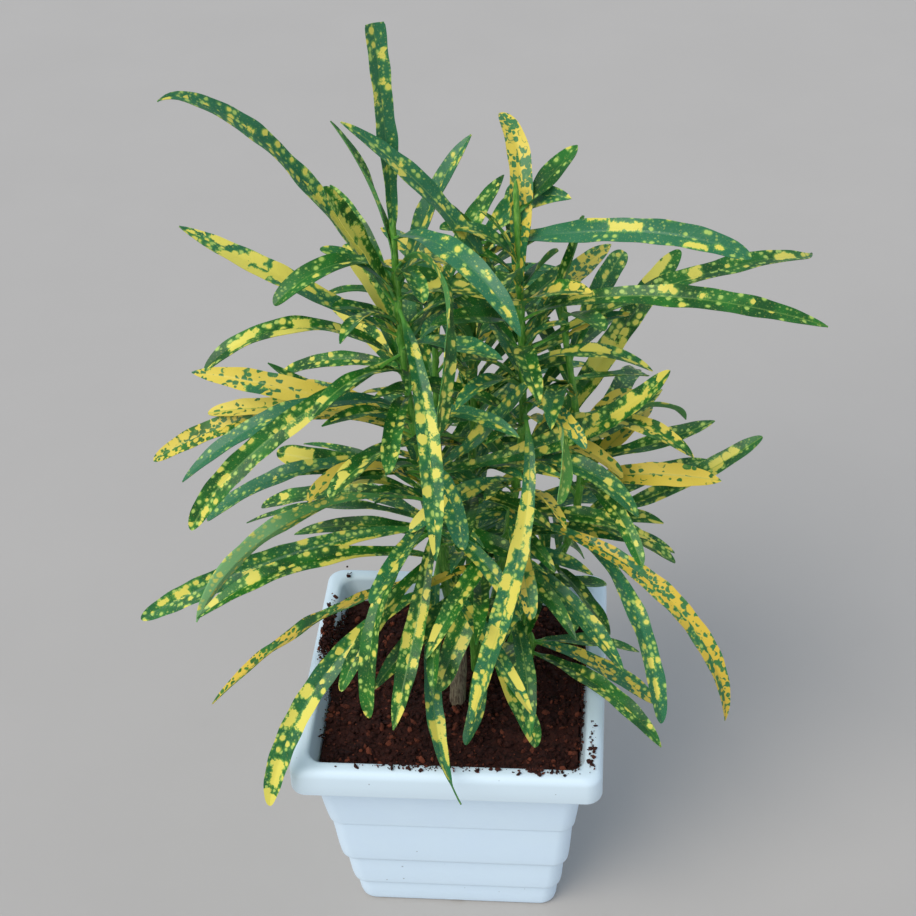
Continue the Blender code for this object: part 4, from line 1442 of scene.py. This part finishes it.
@dataclass
class LeafyStem:
    """One stem with its leaves: a smooth stem piece, and a leaves piece that stands for the solid."""

    key: str
    growths: list[Growth]
    sides: int = 20
    step: float = 0.0022
    buried: float = 0.008
    bud: tuple[tuple[float, float], ...] = ((0.002, 0.8), (0.0038, 0.5), (0.005, 0.12))  # rise, width
    swelling: float = 0.0005
    swelling_drop: float = 0.0012
    swelling_length: float = 0.0016
    bark_grain: float = 0.00012
    line_steps: int = 120
    body_end: float = 0.92
    body_sections: int = 32
    fine_sections: int = 60
    tip_shares: tuple[float, ...] = (0.94, 0.96, 0.975, 0.987, 0.995, 1.0)
    spreads: tuple[float, ...] = (-1, -0.86, -0.62, -0.36, -0.12, 0, 0.12, 0.36, 0.62, 0.86, 1)
    opens_at: float = 0.05
    opens_over: float = 0.11
    ripple_depth: float = 0.03
    ripple_rate: float = 420
    ripple_stray: tuple[float, float] = (0.9, 1.3)
    rib_most: float = 0.45
    ripe_stray: float = 0.2
    edge_thickness: float = 0.0004
    groove: float = 0.00012
    keel: float = 0.0003
    least_half: float = 0.00035
    stalk_half: float = 0.0008
    stalk_thick: float = 0.00072
    young_from: float = 0.48
    young_over: float = 0.1

    @property
    def line(self) -> StemLine:
        """The stem's middle line."""
        return StemLine(self.key)

    def blade_shell(self, growth: Growth) -> Shell:
        """A fine leaf: round stalk, folded blade with waved edges, grooved midrib above and keel below.

        Args:
            growth: the leaf in its place.

        Returns:
            Its points, its faces and its per-point values.
        """
        leaf = growth.leaf
        draw = random.Random(growth.number)
        line = leaf.line(self.line.point(leaf.root), self.line_steps)
        sections = self.fine_sections if growth.blocks else self.body_sections
        shares = list(np.linspace(0, self.body_end, sections)) + list(self.tip_shares)
        ripple, ripple_phase = draw.uniform(*self.ripple_stray), draw.uniform(0, 6)
        habit, seed = growth.pattern.habit, draw.random()
        # each leaf's share of painted sky sheen, drawn at random where its kind sets none
        sky_sheen, midrib = draw.random(), self.rib_most * draw.random() ** 2
        sky_sheen = habit.sky_sheen or sky_sheen
        points, flat, place, inside, young = [], [], [], [], []
        for share in shares:
            blade = blade_share(share)
            side, normal = leaf.axes(share)
            middle = point_along(line, share) + side * growth.tip.shift(blade)
            grown = ramp(share, self.opens_at, self.opens_over)
            grown = grown * grown * (3 - 2 * grown)
            turned = share * leaf.length * self.ripple_rate * ripple + ripple_phase
            half = leaf.width / 2 * growth.tip.width(blade) * (1 + self.ripple_depth * math.sin(turned))
            half = self.stalk_half + (half - self.stalk_half) * grown
            half = max(half, self.least_half)
            wave = wave_height(blade) * grown
            for face in (1, -1):
                for spread in self.spreads if face > 0 else self.spreads[::-1]:
                    out = abs(spread)
                    angle = wave_angle(share * leaf.length, growth.phase, spread)
                    lift = half * math.sin(FOLD) * out**1.25 * grown + wave * out**1.6 * math.sin(angle)
                    round_half = self.stalk_thick * math.sqrt(max(1 - 0.97 * spread * spread, 0))
                    flat_half = self.edge_thickness / 2 * (1.25 - 0.5 * out)
                    if spread == 0:
                        flat_half += -self.groove if face > 0 else self.keel * (1 - blade)
                    thick = round_half + (flat_half - round_half) * grown
                    reach = spread * half * math.cos(FOLD * grown)
                    points.append(middle + side * reach + normal * (lift + face * thick))
                    flat.append((spread * half * 100, share * leaf.length * 100, seed))
                    place.append((spread, share, (face + 1) / 2))
                    young.append(habit.young * ramp(share, self.young_from, self.young_over))
                    depths = (self.depth(block, leaf, share, spread) for block in growth.blocks)
                    inside.append(max(depths, default=-5))
        values = {
            "flat": np.array(flat),
            "place": np.array(place),
            "marks": np.tile((habit.gold, habit.squares, habit.spots), (len(points), 1)),
            "tone": np.array([(fresh, sky_sheen, midrib) for fresh in young]),
            "more": np.array([(depth, habit.chips, habit.dots) for depth in inside]),
            "age": np.tile((habit.ripe + self.ripe_stray * draw.random(), 0, 0), (len(points), 1)),
        }
        return as_array(points), loop_faces(len(shares), 2 * len(self.spreads)), values

    @staticmethod
    def depth(block: Block, leaf: Leaf, share: float, spread: float) -> float:
        """How far inside a yellow block a place on a leaf lies.

        Args:
            block: the block. One that reaches an edge of the blade goes on past it.
            leaf: the leaf.
            share: the place along the leaf, from 0 to 1.
            spread: the place across the blade, from -1 to 1.

        Returns:
            Millimetres, below 0 outside.
        """
        start, end, low, high = block
        start, end = start if start > 0 else -1.0, end if end < 1 else 2.0
        low, high = low if low > -1 else -3.0, high if high < 1 else 3.0
        lengthwise = min(share - start, end - share) * leaf.length
        across = min(spread - low, high - spread) * leaf.width / 2
        return 1000 * max(min(lengthwise, across), -0.005)

    def way(self, turn: int) -> Vector:
        """The direction out of the stem at one of its sides."""
        angle = 2 * math.pi * turn / self.sides
        return Vector((math.cos(angle), math.sin(angle), 0))

    def swell(self, height: float, turn: int) -> float:
        """How far the stem swells under its leaves.

        Args:
            height: the height above the ground.
            turn: which of its sides.

        Returns:
            What the swellings add to the radius.
        """
        angle = 2 * math.pi * turn / self.sides
        added = 0.0
        for growth in self.growths:
            leaf = growth.leaf
            off = (height - leaf.root + self.swelling_drop) / self.swelling_length
            if abs(off) < 3:
                facing = math.cos(angle - math.radians(leaf.azimuth - leaf.sway / 2))
                added += self.swelling * math.exp(-off * off) * max(facing, 0) ** 2
        return added

    def stem_shell(self) -> Shell:
        """A smooth stem with a swelling under each leaf and a pointed bud.

        Returns:
            Its points, its faces and its per-point values.
        """
        line = self.line
        bottom = SOIL_LEVEL - self.buried
        count = round((line.top - bottom) / self.step)
        points, wood = [], []
        for i in range(count + 1):
            height = bottom + (line.top - bottom) * i / count
            middle, radius = line.point(height), line.radius(height)
            for turn in range(self.sides):
                way = self.way(turn)
                grain = self.bark_grain * noise.noise(way * 3 + Vector((0, 0, height * 260)))
                points.append(middle + (radius + self.swell(height, turn) + grain) * way)
                wood.append((self.woodiness(height), 0, 0))
        for rise, keep in self.bud:
            middle, radius = line.point(line.top) + Vector((0, 0, rise)), line.radius(line.top) * keep
            for turn in range(self.sides):
                points.append(middle + radius * self.way(turn))
                wood.append((0, 0, 0))
        return as_array(points), loop_faces(count + 1 + len(self.bud), self.sides), {"wood": np.array(wood)}

    def woodiness(self, height: float) -> float:
        """How far the stem has turned to bark.

        Args:
            height: the height above the ground.

        Returns:
            A share. The tall stem alone is woody, and the others a little at the foot.
        """
        if self.key != "left":
            return 0.25 * max(1 - (height - SOIL_LEVEL) / 0.03, 0)
        return 1 - ramp(height, 0.125, 0.05)

    def build(self, leaf: bpy.types.Material, bark: bpy.types.Material) -> None:
        """Makes both pieces and ties them to the frame.

        Args:
            leaf: the leaves' finish.
            bark: the stem's finish.
        """
        stem = Mesh()
        points, faces, values = self.stem_shell()
        stem.add(points, faces, **values)
        report(stem.build(self.key + "_stem", bark), "leaves")
        leaves = Mesh()
        for growth in self.growths:
            points, faces, values = self.blade_shell(growth)
            leaves.add(points, faces, **values)
        report(leaves.build(self.key + "_leaves", leaf, 70.0), "leaves", STEM_NODES[self.key])


def square_loop(half: float, height: float, radius: float, corner: int, side: int) -> list[Vector]:
    """A rounded square at a height, counter-clockwise from above.

    Args:
        half: half the width.
        height: its height.
        radius: the corner radius.
        corner: steps round each corner.
        side: steps along each side.

    Returns:
        Its points.
    """
    radius = min(radius, half * 0.9)
    points = []
    for quarter in range(4):
        turn = Matrix.Rotation(math.radians(90 * quarter), 3, "Z")
        for step in range(corner + 1):
            angle = math.radians(90) * step / corner
            x = half - radius + radius * math.cos(angle)
            y = half - radius + radius * math.sin(angle)
            points.append(turn @ Vector((x, y, height)))
        for step in range(1, side):
            x = (half - radius) * (1 - 2 * step / side)
            points.append(turn @ Vector((x, half, height)))
    return points


def inner_half(height: float) -> float:
    """Half the width inside the pot's wall at a height below the rim."""
    share = (height - FLOOR) / (POT_HEIGHT - RIM_DEPTH - FLOOR)
    return INNER_HALF_LOW + (INNER_HALF_HIGH - INNER_HALF_LOW) * share


@dataclass
class Pot:
    """The square tiered planter, with its hanging rim, notches and drain holes."""

    corner: int = 12
    side: int = 14
    sharp: float = 38.0
    tier_steps: int = 4
    tier_shares: tuple[float, ...] = (0.3, 0.6, 0.9)
    tier_edge: float = 0.0003
    ceiling_depth: float = 0.0045
    neck_half: float = 0.0582
    skirt_edge: tuple[float, float] = (0.0005, 0.0004)
    rim_foot: tuple[tuple[float, float], ...] = ((0.0008, 0), (0.0002, 0.0004), (0, 0.0012), (0.0001, 0.006))
    outer_rounding: tuple[float, float] = (0.0040, 0.0038)  # place of its middle, radius
    inner_rounding: tuple[float, float, float] = (0.0024, 0.0025, 0.0023)  # two of place, radius
    wall_bend: float = 0.05
    cutter_sides: int = 48

    def profile(self) -> list[tuple[float, float]]:
        """The section of one side, up the outside, over the lip and down the inside to the floor.

        Returns:
            Half-widths and heights.
        """
        foot = POT_HEIGHT - RIM_DEPTH
        points: list[tuple[float, float]] = []
        for index, (start, low, high, rounding) in enumerate(TIERS):
            top = TIERS[index + 1][0] if index + 1 < len(TIERS) else foot
            for step in range(self.tier_steps + 1):
                angle = math.radians(90 * step / self.tier_steps)
                points.append((
                    low - rounding * 0.9 * (1 - math.sin(angle)),
                    start + rounding * (1 - math.cos(angle)),
                ))
            slope, rise = high - low, top - start
            points += [(low + slope * share, start + rise * share) for share in self.tier_shares]
            points.append((high, top - self.tier_edge))
        ceiling = POT_HEIGHT - self.ceiling_depth
        skirt, (edge, rise) = RIM_HALF - RIM_SKIRT, self.skirt_edge
        points += [(self.neck_half, ceiling), (skirt, ceiling), (skirt, foot + rise), (skirt + edge, foot)]
        points += [(RIM_HALF - inward, foot + up) for inward, up in self.rim_foot]
        inset, radius = self.outer_rounding
        points += self.arc(RIM_HALF - inset, POT_HEIGHT - inset, radius, 0, 90)
        inset, drop, radius = self.inner_rounding
        points += self.arc(RIM_HALF - LIP_WIDTH + inset, POT_HEIGHT - drop, radius, 90, 180)
        bend = self.wall_bend
        points += [(INNER_HALF_HIGH, foot), (inner_half(bend), bend), (INNER_HALF_LOW, FLOOR)]
        return points

    @staticmethod
    def arc(half: float, height: float, radius: float, start: int, end: int) -> list[tuple[float, float]]:
        """Points of a rounding, from one angle in degrees to another."""
        angles = [math.radians(start + (end - start) * step / 6) for step in range(7)]
        return [(half + radius * math.cos(a), height + radius * math.sin(a)) for a in angles]

    def cutters(self) -> bpy.types.Collection:
        """Makes cylinders for the notches in the foot and the drain holes.

        Returns:
            Their collection.
        """
        made = bpy.data.collections.new("pot_cutters")
        bpy.context.scene.collection.children.link(made)
        depth = NOTCH_RISE - NOTCH_RADIUS
        ways = [((x * NOTCH_INNER, y * NOTCH_INNER, depth), (x * RIM_HALF, y * RIM_HALF, depth), NOTCH_RADIUS)
                for x, y in ((1, 0), (-1, 0), (0, 1), (0, -1))]
        ways += [((x, y, -0.002), (x, y, FLOOR + 0.001), DRAIN_RADIUS)
                 for x in (-DRAIN_PLACE, DRAIN_PLACE) for y in (-DRAIN_PLACE, DRAIN_PLACE)]
        for start, end, radius in ways:
            start, end = Vector(start), Vector(end)
            bm = bmesh.new()
            length = (end - start).length
            bmesh.ops.create_cone(
                bm, cap_ends=True, segments=self.cutter_sides, radius1=radius, radius2=radius, depth=length
            )
            bm.transform(Vector((0, 0, 1)).rotation_difference(end - start).to_matrix().to_4x4())
            bmesh.ops.translate(bm, verts=bm.verts, vec=(start + end) / 2)
            mesh = bpy.data.meshes.new("cutter")
            bm.to_mesh(mesh)
            bm.free()
            made.objects.link(bpy.data.objects.new("cutter", mesh))
        return made

    def build(self, plastic: bpy.types.Material) -> None:
        """Makes the pot and ties it to the frame.

        Args:
            plastic: its finish.
        """
        loops = [square_loop(*place, CORNER_RADIUS, self.corner, self.side) for place in self.profile()]
        verts, faces = skin(loops)
        shell = Mesh()
        shell.add(as_array(verts), faces)
        pot = shell.build("planter", plastic, self.sharp)
        bm = bmesh.new()
        bm.from_mesh(pot.data)
        bmesh.ops.recalc_face_normals(bm, faces=bm.faces)
        bm.to_mesh(pot.data)
        bm.free()
        collection = self.cutters()
        cut = pot.modifiers.new("Cut", "BOOLEAN")
        cut.operation, cut.solver = "DIFFERENCE", "EXACT"
        cut.operand_type, cut.collection = "COLLECTION", collection
        bpy.context.view_layer.update()
        graph = bpy.context.evaluated_depsgraph_get()
        mesh = bpy.data.meshes.new_from_object(pot.evaluated_get(graph))
        pot.modifiers.clear()
        pot.data = mesh
        for cutter in list(collection.objects):
            bpy.data.objects.remove(cutter, do_unlink=True)
        bpy.data.collections.remove(collection)
        mesh.shade_smooth()
        mesh.set_sharp_from_angle(angle=math.radians(self.sharp))
        report(pot, "pot", "pot")


class Bank(NamedTuple):
    """Potting mix heaped against a side of the pot."""

    side: int
    middle: float
    spread: float
    rise: float


class Patch(NamedTuple):
    """Where crumbs were spilled, how high they are heaped, and the patch's share of them all."""

    middle: tuple[float, float]
    spread: tuple[float, float]
    heap: float
    share: float


@dataclass
class SoilBed:
    """The potting mix: a crumbly bed, loose crumbs on it and crumbs spilled on the rim."""

    rings: int = 80
    sides: int = 80
    corner: int = 8
    crumbs: int = 5000
    spilled: int = 2250
    seed: int = 5
    banks: tuple[Bank, ...] = (Bank(-1, 0.015, 0.024, 0.0072), Bank(1, -0.008, 0.034, 0.0048))
    bank_from: float = 0.044
    bank_over: float = 0.011
    roughness: tuple[Place, ...] = ((SOIL_LUMP, 90, 3.1), (0.0012, 330, 7.7), (0.0005, 900, 1.3))
    sunk: float = 0.0004
    wall_drop: float = 0.004
    wall_room: float = 0.0016
    loose_sizes: tuple[float, float] = (0.0003, 5.2)  # the smallest, and how many times the largest is that
    spilled_sizes: tuple[float, float] = (0.00022, 4.6)
    mostly_small: float = 1.6
    finer_from: float = 0.0008
    stretch: tuple[tuple[float, float], ...] = ((0.7, 1.6), (0.6, 1.1), (0.45, 0.9))
    lip_rounding: float = 0.0014
    lip_drop: float = 0.001
    rim_room: float = 0.003
    ledge: float = 0.0015
    patches: tuple[Patch, ...] = (
        Patch((-0.0588, 0.019), (0.0022, 0.008), 0.0026, 0.44),
        Patch((-0.0553, 0.014), (0.0009, 0.018), 0.0040, 0.16),
        Patch((0.0556, -0.006), (0.0007, 0.024), 0.0030, 0.14),
        Patch((-0.006, -0.0598), (0.013, 0.0012), 0.0, 0.06),
        Patch((0.040, -0.0592), (0.007, 0.0014), 0.0, 0.05),
        Patch((0.0605, -0.045), (0.0014, 0.012), 0.0, 0.03),
    )

    def height(self, x: float, y: float) -> float:
        """The surface: banked up the sides of the pot, with crumbs of a few sizes as noise.

        Args:
            x: the place to the right of the middle.
            y: the place behind the middle.

        Returns:
            The height above the ground.
        """
        out = max(abs(x), abs(y)) / INNER_HALF_HIGH
        surface = SOIL_MIDDLE + (SOIL_EDGE - SOIL_MIDDLE) * out * out
        for bank in self.banks:
            near = ramp(bank.side * x, self.bank_from, self.bank_over)
            surface += bank.rise * near * near * math.exp(-(((y - bank.middle) / bank.spread) ** 2))
        for depth, rate, layer in self.roughness:
            surface += depth * noise.noise(Vector((x * rate, y * rate, layer)))
        return surface - self.sunk

    def bed(self) -> Mesh:
        """The closed bed, from the pot's floor up.

        Returns:
            Its mesh.
        """
        foot = FLOOR + GAP
        loops = [square_loop(inner_half(foot) - GAP, foot, CORNER_RADIUS, self.corner, self.sides)]
        edge = inner_half(SOIL_EDGE - self.wall_drop) - GAP
        for ring in range(self.rings):
            share = 1 - ring / self.rings
            loop = square_loop(edge * share, 0, CORNER_RADIUS * share, self.corner, self.sides)
            for point in loop:
                point.z = self.height(point.x, point.y)
            loops.append(loop)
        verts, faces = skin(loops)
        made = Mesh()
        made.add(as_array(verts), faces, tint=np.zeros((len(verts), 3)))
        return made

    def size(self, draw: random.Random, sizes: tuple[float, float]) -> float:
        """The radius of one crumb, more often a small one."""
        return sizes[0] * sizes[1] ** (draw.random() ** self.mostly_small)

    def add_grain(self, made: Mesh, draw: random.Random, size: float, place: Vector) -> None:
        """Adds one irregular crumb or chip, with a tint of its own.

        Args:
            made: the mesh that it joins.
            draw: the source of its form.
            size: its radius.
            place: its middle.
        """
        bm = bmesh.new()
        bmesh.ops.create_icosphere(bm, subdivisions=2 if size > self.finer_from else 1, radius=1.0)
        stretch = Vector([draw.uniform(*ends) for ends in self.stretch])
        axis = Vector([draw.uniform(-1, 1) for _ in range(3)]).normalized()
        turn = Matrix.Rotation(draw.uniform(0, 6.28), 3, axis)
        shift = Vector([draw.uniform(0, 50) for _ in range(3)])
        points = []
        for vert in bm.verts:
            rough = 1 + 0.55 * noise.noise(vert.co * 1.3 + shift) + 0.2 * noise.noise(vert.co * 4 + shift)
            form = Vector((vert.co.x * stretch.x, vert.co.y * stretch.y, vert.co.z * stretch.z)) * rough
            points.append(place + turn @ form * size)
        faces = [tuple(vert.index for vert in face.verts) for face in bm.faces]
        bm.free()
        made.add(as_array(points), faces, tint=np.full((len(points), 3), draw.random()))

    def loose(self) -> Mesh:
        """The crumbs that lie on the bed, more of them small.

        Returns:
            Their mesh.
        """
        draw = random.Random(self.seed)
        made = Mesh()
        half = inner_half(SOIL_EDGE) - self.wall_room
        for _ in range(self.crumbs):
            x, y = draw.uniform(-half, half), draw.uniform(-half, half)
            size = self.size(draw, self.loose_sizes)
            place = Vector((x, y, self.height(x, y) + size * draw.uniform(0.0, 0.6)))
            self.add_grain(made, draw, size, place)
        return made

    def spill(self) -> Mesh:
        """The crumbs on the rim and up the inside of the pot: thick on the left, thin in front and right.

        Returns:
            Their mesh.
        """
        draw = random.Random(self.seed + 1)
        made = Mesh()
        weights = [patch.share for patch in self.patches]
        opening = RIM_HALF - LIP_WIDTH
        inner = opening + self.lip_rounding
        for _ in range(self.spilled):
            patch = draw.choices(self.patches, weights)[0]
            x, y = (draw.gauss(0, spread) + middle for middle, spread in zip(patch.middle, patch.spread))
            reach = max(abs(x), abs(y))
            size = self.size(draw, self.spilled_sizes)
            lift = patch.heap * draw.random() ** 2
            if inner < reach < RIM_HALF - self.rim_room:
                floor = POT_HEIGHT + size * 0.35
            elif patch.heap and opening < reach <= inner:
                floor = POT_HEIGHT - self.lip_drop * (inner - reach) / self.lip_rounding
            elif patch.heap and reach < opening - size:
                floor = self.height(x, y) + (self.ledge if reach > INNER_HALF_HIGH else 0.0)
            else:
                continue
            self.add_grain(made, draw, size, Vector((x, y, floor + lift)))
        return made

    def build(self, coir: bpy.types.Material) -> None:
        """Makes the three pieces and ties them to the frame.

        Args:
            coir: their finish.
        """
        report(self.bed().build("soil_bed", coir, 180.0), "soil", "soil")
        report(self.loose().build("soil_crumbs", coir, 60.0), "soil")
        report(self.spill().build("rim_crumbs", coir, 60.0), "soil")


@dataclass
class Studio:
    """The floor, the light and the camera at the photograph's angle."""

    camera_place: Place = (0.0685, -0.5598, 0.6490)
    pitch: float = 37.31
    yaw: float = 6.41
    roll: float = -2.93
    focal_pixels: float = 1780.0
    frame_pixels: float = 916.0
    sensor: float = 36.0
    nearest: float = 0.01
    floor_reach: float = 6.0
    sky: float = 0.64
    sky_colour: Colour = (0.80, 0.94, 1.13)
    sun: float = 2.0
    sun_colour: Colour = (1.0, 0.97, 0.91)
    sun_angle: float = 45.0
    sun_from: Place = (-0.6, -0.7, 0.95)

    def camera(self) -> None:
        """Sets the camera."""
        pitch, yaw, roll = (math.radians(angle) for angle in (self.pitch, self.yaw, self.roll))
        ahead = Vector((-math.sin(yaw) * math.cos(pitch), math.cos(yaw) * math.cos(pitch), -math.sin(pitch)))
        right = Vector((math.cos(yaw), math.sin(yaw), 0))
        up = right.cross(ahead)
        turned = right * math.cos(roll) + up * math.sin(roll)
        raised = up * math.cos(roll) - right * math.sin(roll)
        lens = bpy.data.cameras.new("photo_camera")
        lens.sensor_width = self.sensor
        lens.lens = self.focal_pixels / self.frame_pixels * self.sensor
        lens.clip_start = self.nearest
        made = bpy.data.objects.new("photo_camera", lens)
        matrix = Matrix((turned, raised, -ahead)).transposed().to_4x4()
        matrix.translation = Vector(self.camera_place)
        made.matrix_world = matrix
        bpy.context.scene.collection.objects.link(made)
        bpy.context.scene.camera = made

    def floor(self) -> None:
        """Lays a plain pale floor."""
        shell = Mesh()
        reach = self.floor_reach
        corners = np.array([(-reach, -reach, 0), (reach, -reach, 0), (reach, reach, 0), (-reach, reach, 0)])
        shell.add(corners, [(0, 1, 2, 3)])
        shell.build("floor", FloorFinish().build())

    def light(self) -> None:
        """Sets a soft sky and one wide sun from the upper left front."""
        world = bpy.data.worlds.new("sky")
        world.use_nodes = True
        sky = world.node_tree.nodes["Background"]
        sky.inputs["Color"].default_value = (*self.sky_colour, 1)
        sky.inputs["Strength"].default_value = self.sky
        bpy.context.scene.world = world
        sun = bpy.data.lights.new("sun", "SUN")
        sun.energy, sun.angle = self.sun, math.radians(self.sun_angle)
        sun.color = self.sun_colour
        made = bpy.data.objects.new("sun", sun)
        made.rotation_euler = (-Vector(self.sun_from)).to_track_quat("-Z", "Y").to_euler()
        bpy.context.scene.collection.objects.link(made)

    def build(self) -> None:
        """Sets up everything that isn't part of the object."""
        self.camera()
        self.floor()
        self.light()
        view = bpy.context.scene.view_settings
        view.view_transform = "Standard"


def main() -> None:
    """Builds the sub-assemblies in order."""
    logging.basicConfig(level=logging.INFO, format="%(message)s")
    Studio().build()
    Pot().build(PotFinish().build())
    SoilBed().build(SoilFinish().build())
    leaf, bark = LeafFinish().build(), StemFinish().build()
    for key, growths in Planting().arrange().items():
        LOG.info("%s: %d leaves", key, len(growths))
        LeafyStem(key, growths).build(leaf, bark)


if __name__ == "__main__":
    main()
